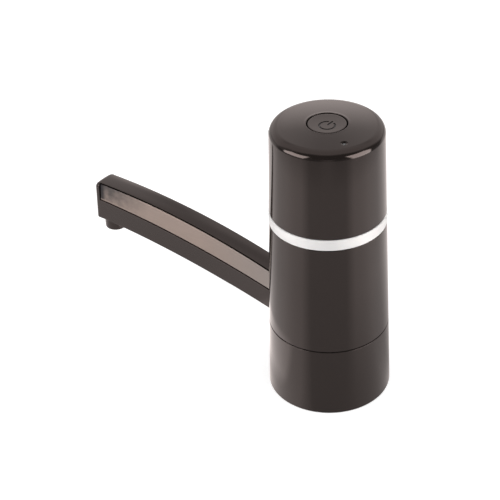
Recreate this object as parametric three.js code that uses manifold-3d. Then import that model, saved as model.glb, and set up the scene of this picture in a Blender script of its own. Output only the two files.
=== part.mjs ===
// Electric pump for a large water bottle, in millimetres, +Z up.
// The origin is on the column's axis, at the foot of its collar. The spout points along -X.
// A tapering column holds a gear pump, its motor, one battery cell and a control board. Its
// collar goes over the bottle's neck, and a long flat spout leaves a pad on its side.
import * as THREE from "three";
import { mergeVertices } from "three/addons/utils/BufferGeometryUtils.js";
import Module from "manifold-3d";

const wasm = await Module();
wasm.setup();

// Clearances and cutting
const fit = 0.3; // between pieces that seat on each other
const runningFit = 0.15; // round a shaft or gear that turns, on the radius
const overrun = 1; // how far a cutter passes the face that it cuts
const mergeDistance = 0.0001;

// Facets of round shapes
const bodySteps = 64;
const coreSteps = 40;
const pieceSteps = 24;
const smallSteps = 12;
const screwSteps = 8;
const cornerSteps = 2; // in each half of a rounded corner
const filletSteps = 4;
const crownSteps = 2;
const arcSteps = 12;
const bendSteps = 3; // in a quarter turn of a tube
const tubeSides = 10;
const bowSteps = 2; // between two points of a hose or wire

// Column shell
const baseRadius = 36;
const topRadius = 31.1;
const bodyHeight = 172.7;
const shellWall = 2.2;
const topThickness = 3;
const topFillet = 5;
const topCrown = 0.8; // how much the top's middle stands above its edge
const collarHeight = 43.5;
const seamGroove = 0.5;
const ringBottom = 112;
const ringWidth = 6.6;
const ringProud = 0.3;
const ringGap = 0.2;
const spigotWall = 1.8;
const spigotLength = 5.4; // above the ring, and as much below it

// Flat pad on the spout's side, which leans with the column
const padProud = 0.1; // at its middle, from the column
const padHalfWidth = 11;
const padDepth = 3.4;
const padInner = 30.1; // flat seat of the spout's screws, inside the shell
const padTopDrop = 8.7;
const padSlopeWidth = 2.6;
const padSlopeHeight = 4.2;

// Bottle neck seat in the collar
const neckDiameter = 55;
const neckClearance = 0.2;
const collarFlangeThickness = 3;
const collarFlangeOverlap = 0.9; // how far the collar's flange reaches in over the neck's rim
const gasketThickness = 3.6;
const gasketWidth = 7.6;
const sleeveWall = 1.8;
const sleeveLift = 0.8;
const sleeveFoot = 2;
const sleeveRibs = 12;
const sleeveRibWidth = 1.6;

// Deck
const deckThickness = 3;
const deckScrews = 3;
const deckScrewTurn = 20; // degrees round the axis to the first one
const deckBossRadius = 2.9;
const deckBossHeight = 14;

// Screws
const screwRadius = 1.25;
const screwHeadRadius = 2.2;
const screwHeadHeight = 1.6;
const recessWidth = 0.7;
const recessDepth = 0.9;

// Gear pump: the gears lie side by side along X
const motorX = 5;
const motorY = -13;
const gearTeeth = 12;
const gearModule = 0.9;
const gearHeight = 7.6;
const addendumShare = 0.8;
const dedendumShare = 1.25;
const pressureAngle = 20; // degrees
const backlash = 0.3;
const flankPoints = 3;
const toothTurnShare = 0.5; // of a pitch, by which the idler is turned
const pumpLength = 27;
const pumpWidth = 23;
const pumpCorner = 4;
const pumpLift = 18.5; // cover's underside above the deck
const pumpCoverThickness = 3;
const pumpBodyHeight = 12;
const pumpPortSpread = 11; // between the inlet and the outlet
const portRadius = 2.8;
const portBore = 2;
const portLength = 4.5;
const pumpScrewInset = 2.9;
const sealRadius = 2.7;
const sealHeight = 1.6;
const pinRadius = 1;
const pinSeat = 1.6;

// Motor and its bracket
const motorRadius = 12.2;
const motorLength = 31;
const motorWall = 1;
const motorFloor = 2;
const motorCapHeight = 2.5;
const terminalHeight = 4;
const terminalWidth = 2.2;
const terminalThickness = 0.6;
const terminalSpread = 8;
const shaftRadius = 1;
const shaftTopProud = 1.2;
const armatureRadius = 8.2;
const armatureLength = 18;
const armatureSlots = 3;
const armatureSlotWidth = 1.6;
const armatureSlotFloor = 4.1;
const magnetThickness = 2;
const magnetSpan = 130; // degrees
const bracketThickness = 2;
const bracketRingWall = 1.5;
const bracketRingHeight = 5;
const earRadius = 3.2;
const bracketScrewLength = 12.5;
const postRadius = 2.6;
const postPilotDepth = 15;
const backPostX = 17.5;
const backPostY = -2;
const frontPostX = 20.2;
const frontPostY = -19;
const sidePostX = -17.5;
const sidePostY = -21.5;

// Inlet nipple under the deck
const nippleBore = 2.2;
const nippleRadius = 3.4;
const nippleBarb = 0.7;
const nippleBarbs = 3;
const barbLengthShare = 0.5; // of the nipple's length
const barbRiseShare = 0.7; // of each barb's own length
const nippleLength = 22;
const nippleFlangeRadius = 5.2;
const nippleFlangeHeight = 1.5;
const nutSides = 6;
const nutAcross = 12; // across the nut's flats
const nutHeight = 3;

// Hoses inside
const hoseRadius = 4;
const hoseBore = 3.1;
const hoseSides = 12;

// Battery
const cellRadius = 9.2;
const cellLength = 65;
const cellY = 15.5;
const cradleWall = 1.5;
const cradleOpening = 110; // degrees
const cradleMouthReach = 22;
const cradleEnd = 2;
const contactThickness = 0.6;
const contactWidth = 9;
const contactLeafWidth = 4.5;
const contactTabReach = 11.5;
const contactHeadroom = 0.9;
const contactTravel = 3.6; // room for the springy contact under the cell

// Control board and what is on it
const boardDrop = 22.7; // of the board's underside below the top
const boardRadius = 27.2;
const boardThickness = 1.6;
const boardBossRadius = 3;
const boardBossDistance = 22.5;
const boardBosses = 3;
const boardBossTurn = 30; // degrees round the axis to the first one
const boardScrewLength = 8;
const switchSize = 6.2;
const switchHeight = 3.6;
const plungerRadius = 1.7;
const plungerHeight = 2.8;
const plungerProud = 1.4;
const ledSize = 3;
const ledHeight = 1.6;
const usbWidth = 9;
const usbHeight = 3.2;
const usbDepth = 7.4;
const usbCorner = 1.5;
const usbWall = 0.35;
const usbFloor = 1.05;
const usbTongueWidth = 6;
const usbTongueThickness = 0.7;
const usbTongueSetback = 1.4;
const usbHoleDepth = 6.6;
const usbSetback = 0.9; // of its mouth from the shell's outside

// Button and light pipe
const buttonRadius = 11.25;
const buttonGap = 0.45;
const buttonTravel = 0.6;
const buttonPlate = 2.6;
const buttonWall = 1.6;
const buttonEdge = 0.7;
const buttonEdgeShare = 0.3; // of the edge, where its rounding bends
const buttonFlangeWidth = 1.6;
const buttonFlangeHeight = 1.2;
const buttonStemRadius = 2.2;
const guideWall = 1.8;
const guideDepth = 6;
const symbolRadius = 4.15;
const symbolStroke = 0.6;
const symbolDepth = 0.35;
const symbolOpening = 60; // degrees, centred on +Y
const symbolBarInner = 1.2;
const symbolBarOuter = 5.1;
const lightX = 19.3;
const lightY = -12.1;
const dimpleRadius = 1.8;
const dimpleDepth = 0.5; // below the edge of the crowned top
const lightPipeRadius = 0.9;

// Spout, measured along +X of its own group, which is turned to point along -X
const spoutWidth = 15.2;
const spoutSeat = 44; // height at which the pad stands furthest out behind the spout
const spoutTopReach = 172.8;
const spoutUnderReach = 174.7;
const spoutTopPeakX = 161.1;
const spoutTopPeak = 79.9;
const spoutTopRadius = 515;
const spoutUnderPeakX = 190.1;
const spoutUnderPeak = 54.6;
const spoutUnderRadius = 704.5;
const spoutEdge = 0.8;
const spoutTipCorner = 2.4;
const bandHeight = 13.6;
const topFlange = 0.9;
const recessFrame = 2.6;
const recessSink = 2; // from the spout's side to the face of the metal strip
const stripThickness = 0.8;
const stripLip = 1.6;
const tubeRadius = 2.8;
const tubeBore = 2.05;
const tubeRise = 6.8; // of the tube's axis above the underside
const tubeEntry = 47.9; // height of the tube's axis where it passes the pad
const tubeEntryBlend = 27; // length over which it settles to its rise
const tubeInset = 9.1; // length of the tube inside the shell
const tubeSocketFit = 0.5; // round the tube, in the nozzle's neck
const coverThickness = 1.8;
const nozzlePlace = 164.8;
const nozzleRadius = 6.9;
const nozzleDrop = 6.9;
const nozzleEdge = 1;
const nozzleBore = 4.6;
const nozzleBoreDepth = 3.2;
const nozzleNeckRadius = 4.7;
const nozzleNeckLength = 2.2;
const tubeBend = 4.8;
const tubeTail = 3; // straight length at the tube's lower end
const spoutScrewHeight = 57;
const spoutScrewSpread = 6;
const spoutScrewLength = 12;

// Wires
const wireRadius = 0.7;
const wireSides = 6;
const wireRiseShare = 0.13; // of its height, straight at each end
const motorLeadEndY = -6.5;
const batteryLeadEndY = 2.35;
const batteryLeadSpread = 3;

// Values worked out from the sizes above
const column = (z) => baseRadius - ((baseRadius - topRadius) * z) / bodyHeight;
const inner = (z) => column(z) - shellWall;
const padFace = (z) => column(z) + padProud;
const padDistance = padFace(spoutSeat);
const ringTop = ringBottom + ringWidth;
const lowerBottom = collarHeight + seamGroove;
const spigotOuter = inner(ringTop) - fit;
const deckTop = collarHeight;
const deckBottom = deckTop - deckThickness;
const deckScrewDistance = inner(lowerBottom) - deckBossRadius - fit;
const flangeTop = deckBottom - fit;
const flangeBottom = flangeTop - collarFlangeThickness;
const neckRadius = neckDiameter / 2;
const gasketOuter = neckRadius - collarFlangeOverlap - fit;
const gearPitch = (gearModule * gearTeeth) / 2;
const gearOuter = gearPitch + addendumShare * gearModule;
const pumpX = motorX - gearPitch;
const pumpZ = deckTop + pumpLift;
const pumpBodyZ = pumpZ + pumpCoverThickness + fit;
const gearZ = pumpBodyZ + fit;
const bracketZ = pumpBodyZ + pumpBodyHeight + fit;
const motorZ = bracketZ + bracketThickness + fit;
const motorTop = motorZ + motorLength;
const inletY = motorY + pumpPortSpread / 2;
const outletY = motorY - pumpPortSpread / 2;
const cradleZ = deckTop + fit;
const cellZ = cradleZ + cradleEnd + contactTravel;
const cellTop = cellZ + cellLength;
const boardHeight = bodyHeight - boardDrop;
const boardTop = boardHeight + boardThickness;
const topUnder = bodyHeight - topThickness;
const buttonHole = buttonRadius + buttonGap;
const guideBottom = topUnder - guideDepth;
const dimpleBottom = bodyHeight - topCrown - dimpleDepth;
const stemBottom = boardTop + fit + switchHeight + plungerProud + fit;
const nippleFlangeZ = deckTop + fit;
const stripDepth = recessSink + stripThickness + fit / 2;
const toRadians = Math.PI / 180;
const postPlaces = [[backPostX, backPostY], [frontPostX, frontPostY], [sidePostX, sidePostY]];
const spoutScrewPlaces = [spoutScrewHeight, spoutScrewHeight + spoutScrewSpread];
const spoutTopArc = { x: spoutTopPeakX, z: spoutTopPeak, radius: spoutTopRadius };
const spoutUnderArc = { x: spoutUnderPeakX, z: spoutUnderPeak, radius: spoutUnderRadius };

// Turns closed triangles into a solid, whichever way round they were given.
function solid(geometry) {
  const bare = geometry.clone();
  bare.deleteAttribute("normal");
  bare.deleteAttribute("uv");
  const merged = mergeVertices(bare, mergeDistance);
  const index = merged.index.array;
  const corners = [];
  for (let i = 0; i < index.length; i += 3) {
    const [a, b, c] = [index[i], index[i + 1], index[i + 2]];
    if (a !== b && b !== c && c !== a) corners.push(a, b, c);
  }
  const build = (list) =>
    new wasm.Manifold(
      new wasm.Mesh({
        numProp: 3,
        vertProperties: merged.attributes.position.array,
        triVerts: new Uint32Array(list),
      }),
    );
  const made = build(corners);
  return made.volume() < 0 ? build(corners.reverse()) : made;
}

const join = (first, ...others) => others.reduce((whole, piece) => whole.add(piece), first);
const cut = (first, ...tools) => tools.reduce((whole, tool) => whole.subtract(tool), first);
const moved = (piece, x, y, z) => piece.translate([x, y, z]);
const turnedAbout = (piece, degrees) => piece.rotate([0, 0, degrees]);

// A solid of revolution about Z, from [radius, height] points.
function lathe(profile, steps = pieceSteps) {
  const points = [...profile, profile[0]].map(([r, z]) => new THREE.Vector2(r, z));
  return solid(new THREE.LatheGeometry(points, steps).rotateX(Math.PI / 2));
}

const rod = (radius, bottom, top, steps = pieceSteps) =>
  lathe([[0, bottom], [radius, bottom], [radius, top], [0, top]], steps);

const tube = (radius, bore, bottom, top, steps = pieceSteps) =>
  lathe([[bore, bottom], [radius, bottom], [radius, top], [bore, top]], steps);

function box(lowX, highX, lowY, highY, lowZ, highZ) {
  const made = new THREE.BoxGeometry(highX - lowX, highY - lowY, highZ - lowZ);
  return solid(made.translate((lowX + highX) / 2, (lowY + highY) / 2, (lowZ + highZ) / 2));
}

// A flat outline in X and Y, raised from bottom to top.
function prism(shape, bottom, top, steps = cornerSteps) {
  const settings = { depth: top - bottom, bevelEnabled: false, curveSegments: steps };
  return solid(new THREE.ExtrudeGeometry(shape, settings).translate(0, 0, bottom));
}

// A side view in X and Z, from one Y to another.
function slab(shape, lowY, highY) {
  const settings = { depth: highY - lowY, bevelEnabled: false };
  const made = new THREE.ExtrudeGeometry(shape, settings).rotateX(Math.PI / 2);
  return solid(made.translate(0, highY, 0));
}

const outline = (points) => new THREE.Shape(points.map(([x, y]) => new THREE.Vector2(x, y)));

function roundedRectangle(width, height, radius) {
  const [x, y] = [width / 2, height / 2];
  const shape = new THREE.Shape();
  shape.absarc(x - radius, y - radius, radius, 0, Math.PI / 2);
  shape.absarc(radius - x, y - radius, radius, Math.PI / 2, Math.PI);
  shape.absarc(radius - x, radius - y, radius, Math.PI, 1.5 * Math.PI);
  shape.absarc(x - radius, radius - y, radius, 1.5 * Math.PI, 2 * Math.PI);
  return shape;
}

// A round bar or hose along a smooth curve through points; a bore of 0 leaves it solid.
// Each stretch between two points takes the same number of steps, however long it is.
function along(points, radius, bore, sides, stretchSteps) {
  const route = new THREE.CatmullRomCurve3(points, false, "centripetal");
  route.getPointAt = (share) => route.getPoint(share);
  route.getTangentAt = (share) => route.getTangent(share);
  const steps = stretchSteps * (points.length - 1);
  const section = new THREE.Shape().absarc(0, 0, radius, 0, 2 * Math.PI);
  if (bore > 0) section.holes.push(new THREE.Path().absarc(0, 0, bore, 0, 2 * Math.PI, true));
  const settings = { steps, curveSegments: sides / 2, extrudePath: route };
  return solid(new THREE.ExtrudeGeometry(section, settings));
}

// A pan-head screw that points up, with its head below height 0 and a cross in the head.
function screw(length) {
  const body = lathe([
    [0, -screwHeadHeight], [screwHeadRadius, -screwHeadHeight], [screwHeadRadius, 0],
    [screwRadius, 0], [screwRadius, length], [0, length],
  ], screwSteps);
  const half = screwHeadRadius / 2;
  const slot = box(-half, half, -recessWidth / 2, recessWidth / 2,
    -screwHeadHeight - overrun, recessDepth - screwHeadHeight);
  return cut(body, slot, turnedAbout(slot, 90));
}

const materials = {
  blackShell: [0x211c1a, 0.22, 0],
  silver: [0xd8d4cf, 0.3, 1],
  strip: [0x9c948e, 0.35, 1],
  silicone: [0xc9ced0, 0.6, 0],
  clear: [0xdfe7ea, 0.15, 0],
  innerPlastic: [0xb9b7b0, 0.5, 0],
  steel: [0xa7a9ab, 0.3, 1],
  brass: [0xb08d4a, 0.35, 1],
  board: [0x1d5a35, 0.5, 0],
  blackPart: [0x1b1b1c, 0.5, 0],
  magnet: [0x3a3a3c, 0.6, 0],
  cellWrap: [0x2f6ea8, 0.4, 0],
  red: [0xa52020, 0.5, 0],
};

const pump = new THREE.Group();

// Adds a solid to a group as a named mesh with its own material.
function add(group, name, piece, kind) {
  const { numProp, vertProperties, triVerts } = piece.getMesh();
  const points = [];
  for (const corner of triVerts)
    points.push(...vertProperties.slice(corner * numProp, corner * numProp + 3));
  const geometry = new THREE.BufferGeometry();
  geometry.setAttribute("position", new THREE.Float32BufferAttribute(points, 3));
  geometry.computeVertexNormals();
  const [color, roughness, metalness] = materials[kind];
  const material = new THREE.MeshStandardMaterial({ color, roughness, metalness });
  const mesh = new THREE.Mesh(geometry, material);
  mesh.name = name;
  group.add(mesh);
  return mesh;
}

// Places one screw per entry: a point, and turns about X and Y from pointing up.
function addScrews(group, name, length, places) {
  places.forEach(({ at, turnX = 0, turnY = 0 }, i) => {
    const mesh = add(group, `${name}_${i + 1}`, screw(length), "steel");
    mesh.position.set(...at);
    mesh.rotation.set(turnX, turnY, 0);
  });
}

// Points at one distance from the axis, evenly spread from a first one.
const ringOf = (count, distance, firstDegrees) =>
  Array.from({ length: count }, (_, i) => {
    const angle = (firstDegrees + (360 * i) / count) * toRadians;
    return [distance * Math.cos(angle), distance * Math.sin(angle)];
  });

const deckScrewPlaces = ringOf(deckScrews, deckScrewDistance, deckScrewTurn);
const boardBossPlaces = ringOf(boardBosses, boardBossDistance, boardBossTurn);

// The same round bar or hole at each of several places.
const rodsAt = (places, radius, bottom, top) =>
  places.map(([x, y]) => moved(rod(radius, bottom, top, smallSteps), x, y, 0));

// Column shells

// The tapering column between two heights, standing out or in by an offset.
const taper = (bottom, top, offset) =>
  lathe([
    [0, bottom], [column(bottom) + offset, bottom], [column(top) + offset, top], [0, top],
  ], bodySteps);

// The pad's flat face between two heights, as points of a side view.
const padLine = (bottom, top, offset) => [
  [-padFace(bottom) - offset, bottom], [-padFace(top) - offset, top],
];

// The flat pad on a stretch of the column. Its slope, if it has one, is at its top.
function pad(bottom, top, offset, slopeWidth = 0, slopeHeight = 0) {
  const side = padHalfWidth + offset;
  const slope = [[slopeWidth - padFace(top) - offset, top + slopeHeight]];
  return slab(outline([
    ...padLine(bottom, top, offset), ...(slopeHeight > 0 ? slope : []),
    [padDepth - padFace(top), top + slopeHeight], [padDepth - padFace(bottom), bottom],
  ]), -side, side);
}

function baseCollar() {
  const shell = taper(0, collarHeight, 0);
  const hollow = taper(-overrun, flangeBottom, -shellWall);
  const upperHollow = taper(flangeTop, collarHeight + overrun, -shellWall);
  const neckHole = rod(neckRadius - collarFlangeOverlap, 0, collarHeight, coreSteps);
  const sink = flangeBottom + screwHeadHeight + fit;
  const screwHoles = rodsAt(deckScrewPlaces, screwRadius + fit, 0, collarHeight);
  const headHoles = rodsAt(deckScrewPlaces, screwHeadRadius + fit, 0, sink);
  return cut(shell, hollow, upperHollow, neckHole, ...screwHoles, ...headHoles);
}

function neckSleeve() {
  const bore = neckRadius + neckClearance;
  const top = flangeBottom - fit;
  const footTop = sleeveLift + sleeveFoot;
  const wall = tube(bore + sleeveWall, bore, sleeveLift, top, coreSteps);
  const foot = tube(inner(footTop) - fit, bore + sleeveWall / 2, sleeveLift, footTop, coreSteps);
  const rib = box(bore + sleeveWall / 2, inner(top) - fit,
    -sleeveRibWidth / 2, sleeveRibWidth / 2, footTop - fit, top);
  const ribs = [];
  for (let i = 0; i < sleeveRibs; i++) ribs.push(turnedAbout(rib, (360 * i) / sleeveRibs));
  const headRooms = rodsAt(deckScrewPlaces, screwHeadRadius + fit, top - screwHeadHeight, top + overrun);
  return cut(join(wall, foot, ...ribs), ...headRooms);
}

const neckGasket = () =>
  tube(gasketOuter, gasketOuter - gasketWidth, deckBottom - fit - gasketThickness,
    deckBottom - fit, coreSteps);

function lowerHousing() {
  const shoulder = ringBottom - ringGap;
  const spigotFoot = ringBottom - spigotLength;
  const spigotTop = ringTop + spigotLength;
  const shell = join(taper(lowerBottom, shoulder, 0), pad(lowerBottom, shoulder, 0));
  const spigot = rod(spigotOuter, spigotFoot, spigotTop, bodySteps);
  const hollow = taper(lowerBottom - overrun, spigotFoot, -shellWall);
  const padBack = box(-baseRadius, -padInner, -padHalfWidth, padHalfWidth, lowerBottom, spigotFoot);
  const throat = rod(spigotOuter - spigotWall, spigotFoot - overrun, spigotTop + overrun, coreSteps);
  const bossTop = deckTop + deckBossHeight;
  const bosses = rodsAt(deckScrewPlaces, deckBossRadius + fit, deckTop + fit, bossTop);
  const pilots = rodsAt(deckScrewPlaces, screwRadius + runningFit, 0, bossTop - overrun);
  const tubeHole = lyingRod(tubeRadius + fit, -baseRadius, -padInner + overrun);
  const screwHole = lyingRod(screwRadius + fit, -baseRadius, -padInner + overrun);
  const holes = spoutScrewPlaces.map((z) => moved(screwHole, 0, 0, z));
  const body = cut(join(shell, spigot), hollow.subtract(padBack), throat);
  return cut(join(body, ...bosses), ...pilots, moved(tubeHole, 0, 0, tubeEntry), ...holes);
}

// A round bar along X.
const lyingRod = (radius, low, high) => rod(radius, low, high, smallSteps).rotate([0, 90, 0]);

function trimRing() {
  const ring = join(taper(ringBottom, ringTop, ringProud), pad(ringBottom, ringTop, ringProud));
  return cut(ring, rod(spigotOuter + fit, ringBottom - overrun, ringTop + overrun, bodySteps));
}

function upperHousing() {
  const bottom = ringTop + ringGap;
  const shoulder = bodyHeight - topCrown - topFillet;
  const flat = column(shoulder) - topFillet;
  const edge = [];
  for (let i = 0; i <= filletSteps; i++) {
    const angle = ((Math.PI / 2) * i) / filletSteps;
    edge.push([flat + topFillet * Math.cos(angle), shoulder + topFillet * Math.sin(angle)]);
  }
  for (let i = 1; i <= crownSteps; i++) {
    const share = 1 - i / crownSteps;
    edge.push([flat * share, bodyHeight - topCrown * share ** 2]);
  }
  const outer = lathe([[0, bottom], [column(bottom), bottom], ...edge], bodySteps);
  const padTop = bodyHeight - padTopDrop;
  const shell = join(outer, pad(bottom, padTop, 0, padSlopeWidth, padSlopeHeight));
  const hollow = taper(bottom - overrun, topUnder, -shellWall);
  const guide = rod(buttonHole + guideWall, guideBottom, topUnder + fit, pieceSteps);
  const bosses = rodsAt(boardBossPlaces, boardBossRadius, boardTop + fit, topUnder + fit);
  const pilots = rodsAt(boardBossPlaces, screwRadius + runningFit, boardHeight,
    boardTop + boardScrewLength);
  const buttonOpening = rod(buttonHole, guideBottom - overrun, bodyHeight + overrun, coreSteps);
  const dimple = rod(dimpleRadius, dimpleBottom, bodyHeight + overrun, smallSteps);
  const pipeHole = rod(lightPipeRadius + fit, topUnder - overrun, bodyHeight + overrun, smallSteps);
  const usbHole = prism(
    roundedRectangle(usbWidth + 2 * fit, usbHeight + 2 * fit, usbCorner + fit),
    0, usbHoleDepth,
  ).rotate([-90, 0, 0]);
  const usbZ = boardTop + fit + usbHeight / 2;
  return cut(
    join(shell.subtract(hollow), guide, ...bosses),
    ...pilots,
    buttonOpening,
    moved(dimple, lightX, lightY, 0),
    moved(pipeHole, lightX, lightY, 0),
    moved(usbHole, 0, inner(usbZ) - shellWall, usbZ),
  );
}

// Deck and inlet

function pumpDeck() {
  const plate = rod(inner(deckTop) - fit, deckBottom, deckTop, coreSteps);
  const postTop = bracketZ - fit;
  const posts = rodsAt(postPlaces, postRadius, deckTop - fit, postTop);
  const pilots = rodsAt(postPlaces, screwRadius + runningFit, postTop - postPilotDepth,
    postTop + overrun);
  const screwHoles = rodsAt(deckScrewPlaces, screwRadius + fit, deckBottom - overrun,
    deckTop + overrun);
  const nippleHole = rod(nippleRadius + fit, deckBottom - overrun, deckTop + overrun, pieceSteps);
  return cut(join(plate, ...posts), ...pilots, ...screwHoles, moved(nippleHole, pumpX, inletY, 0));
}

// The nipple's barbs point down, and its upper stub takes the inlet hose.
function inletNipple() {
  const barbPitch = (nippleLength * barbLengthShare) / nippleBarbs;
  const foot = deckBottom - nippleLength;
  const profile = [[nippleBore, foot]];
  for (let i = 0; i < nippleBarbs; i++) {
    const z = foot + i * barbPitch;
    profile.push([nippleRadius - nippleBarb, z],
      [nippleRadius + nippleBarb, z + barbPitch * barbRiseShare]);
  }
  const flangeTopZ = nippleFlangeZ + nippleFlangeHeight;
  profile.push(
    [nippleRadius - nippleBarb, foot + nippleBarbs * barbPitch],
    [nippleRadius, foot + nippleBarbs * barbPitch + nippleBarb],
    [nippleRadius, nippleFlangeZ], [nippleFlangeRadius, nippleFlangeZ],
    [nippleFlangeRadius, flangeTopZ], [portRadius, flangeTopZ],
    [portRadius, flangeTopZ + portLength], [nippleBore, flangeTopZ + portLength],
  );
  return lathe(profile);
}

function nippleNut() {
  const corner = nutAcross / 2 / Math.cos(Math.PI / nutSides);
  const hex = rod(corner, deckBottom - fit - nutHeight, deckBottom - fit, nutSides);
  return cut(hex, rod(nippleRadius + fit, 0, deckTop, smallSteps));
}

// Gear pump

// One gear about the origin, with a tooth on +X unless it is turned by half a tooth.
function gear(turn) {
  const base = gearPitch * Math.cos(pressureAngle * toRadians);
  const root = gearPitch - dedendumShare * gearModule;
  const involute = (r) => Math.sqrt((r / base) ** 2 - 1) - Math.acos(base / r);
  const halfTooth = Math.PI / gearTeeth / 2 - backlash / 4 / gearPitch;
  const points = [];
  for (let tooth = 0; tooth < gearTeeth; tooth++) {
    const middle = ((tooth + turn) * 2 * Math.PI) / gearTeeth;
    const flank = [[root, halfTooth + involute(gearPitch)]];
    for (let i = 0; i < flankPoints; i++) {
      const r = base + ((gearOuter - base) * i) / (flankPoints - 1);
      flank.push([r, halfTooth + involute(gearPitch) - involute(Math.max(r, base))]);
    }
    const rising = flank.map(([r, a]) => [r, middle - a]);
    const falling = flank.map(([r, a]) => [r, middle + a]).reverse();
    for (const [r, a] of [...rising, ...falling]) points.push([r * Math.cos(a), r * Math.sin(a)]);
  }
  return outline(points);
}

const gearBlank = (turn, bore) =>
  cut(prism(gear(turn), gearZ, gearZ + gearHeight),
    rod(bore, gearZ - overrun, gearZ + gearHeight + overrun, smallSteps));

const pumpBlock = (bottom, top) =>
  moved(prism(roundedRectangle(pumpLength, pumpWidth, pumpCorner), bottom, top), pumpX, motorY, 0);

const pumpScrewPlaces = [1, -1].map((side) => [
  pumpX + side * (pumpLength / 2 - pumpScrewInset),
  motorY + side * (pumpWidth / 2 - pumpScrewInset),
]);

function pumpBody() {
  const top = pumpBodyZ + pumpBodyHeight;
  const pocketTop = gearZ + gearHeight + fit;
  const pocket = rod(gearOuter + fit, pumpBodyZ - overrun, pocketTop, pieceSteps);
  const channel = box(-portRadius, portRadius, -pumpPortSpread / 2 - portBore,
    pumpPortSpread / 2 + portBore, pumpBodyZ - overrun, pocketTop);
  const shaftHole = rod(shaftRadius + fit, pumpBodyZ, top + overrun, smallSteps);
  const sealSeat = rod(sealRadius + fit, top - sealHeight - fit, top + overrun, smallSteps);
  const pinHole = rod(pinRadius + runningFit, pumpBodyZ, pocketTop + pinSeat + fit, smallSteps);
  const screwHoles = rodsAt(pumpScrewPlaces, screwRadius + fit, 0, top + overrun);
  return cut(
    pumpBlock(pumpBodyZ, top),
    moved(pocket, motorX, motorY, 0),
    moved(pocket, pumpX - gearPitch, motorY, 0),
    moved(channel, pumpX, motorY, 0),
    moved(shaftHole, motorX, motorY, 0),
    moved(sealSeat, motorX, motorY, 0),
    moved(pinHole, pumpX - gearPitch, motorY, 0),
    ...screwHoles,
  );
}

function pumpCover() {
  const top = pumpZ + pumpCoverThickness;
  const port = tube(portRadius, portBore, pumpZ - portLength, pumpZ + fit, smallSteps);
  const portHole = rod(portBore, pumpZ, top + overrun, smallSteps);
  const pinHole = rod(pinRadius + runningFit, top - pinSeat - fit, top + overrun, smallSteps);
  const screwHoles = rodsAt(pumpScrewPlaces, screwRadius + fit, 0, top + overrun);
  return cut(
    join(
      cut(pumpBlock(pumpZ, top), moved(portHole, pumpX, inletY, 0), moved(portHole, pumpX, outletY, 0)),
      moved(port, pumpX, inletY, 0),
      moved(port, pumpX, outletY, 0),
    ),
    moved(portHole, pumpX, inletY, 0),
    moved(portHole, pumpX, outletY, 0),
    moved(pinHole, pumpX - gearPitch, motorY, 0),
    ...screwHoles,
  );
}

// Motor and bracket

function motorBracket() {
  const top = bracketZ + bracketThickness;
  const ears = postPlaces.flatMap(([x, y]) => {
    const [dx, dy] = [x - pumpX, y - motorY];
    const bar = box(0, Math.hypot(dx, dy), -earRadius, earRadius, bracketZ, top);
    const angle = Math.atan2(dy, dx) / toRadians;
    return [
      moved(turnedAbout(bar, angle), pumpX, motorY, 0),
      moved(rod(earRadius, bracketZ, top, smallSteps), x, y, 0),
    ];
  });
  const cup = motorRadius + fit;
  const ring = tube(cup + bracketRingWall, cup, top - fit, top + bracketRingHeight, pieceSteps);
  const shaftHole = rod(sealRadius + fit, bracketZ - overrun, top + overrun, smallSteps);
  const screwHoles = rodsAt([...postPlaces, ...pumpScrewPlaces], screwRadius + fit,
    bracketZ - overrun, top + overrun);
  const headRooms = rodsAt(postPlaces, screwHeadRadius + fit, top, top + bracketRingHeight + overrun);
  return cut(
    join(pumpBlock(bracketZ, top), ...ears, moved(ring, motorX, motorY, 0)),
    moved(shaftHole, motorX, motorY, 0),
    ...screwHoles,
    ...headRooms,
  );
}

const motorCan = () =>
  lathe([
    [sealRadius + fit, 0], [motorRadius - motorWall, 0], [motorRadius, motorWall],
    [motorRadius, motorLength], [motorRadius - motorWall, motorLength],
    [motorRadius - motorWall, motorFloor], [sealRadius + fit, motorFloor],
  ]);

function motorEndCap() {
  const bottom = motorLength + fit;
  const disc = tube(motorRadius, shaftRadius + fit, bottom, bottom + motorCapHeight);
  const terminal = box(-terminalWidth / 2, terminalWidth / 2, -terminalThickness / 2,
    terminalThickness / 2, bottom + motorCapHeight - fit, bottom + motorCapHeight + terminalHeight);
  const away = terminalSpread / 2;
  return join(disc, moved(terminal, away, 0, 0), moved(terminal, -away, 0, 0));
}

function motorArmature() {
  const bottom = (motorLength - armatureLength) / 2;
  const core = tube(armatureRadius, shaftRadius + runningFit, bottom, bottom + armatureLength);
  const slot = box(armatureSlotFloor, armatureRadius + overrun, -armatureSlotWidth / 2,
    armatureSlotWidth / 2, bottom - overrun, bottom + armatureLength + overrun);
  const slots = [];
  for (let i = 0; i < armatureSlots; i++) slots.push(turnedAbout(slot, (360 * i) / armatureSlots));
  return cut(core, ...slots);
}

function motorMagnet() {
  const outer = motorRadius - motorWall - fit;
  const bottom = (motorLength - armatureLength) / 2;
  const half = (magnetSpan / 2) * toRadians;
  const shape = new THREE.Shape();
  shape.absarc(0, 0, outer, -half, half);
  shape.absarc(0, 0, outer - magnetThickness, half, -half, true);
  return prism(shape, bottom, bottom + armatureLength, smallSteps / 2);
}

// Battery

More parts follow.
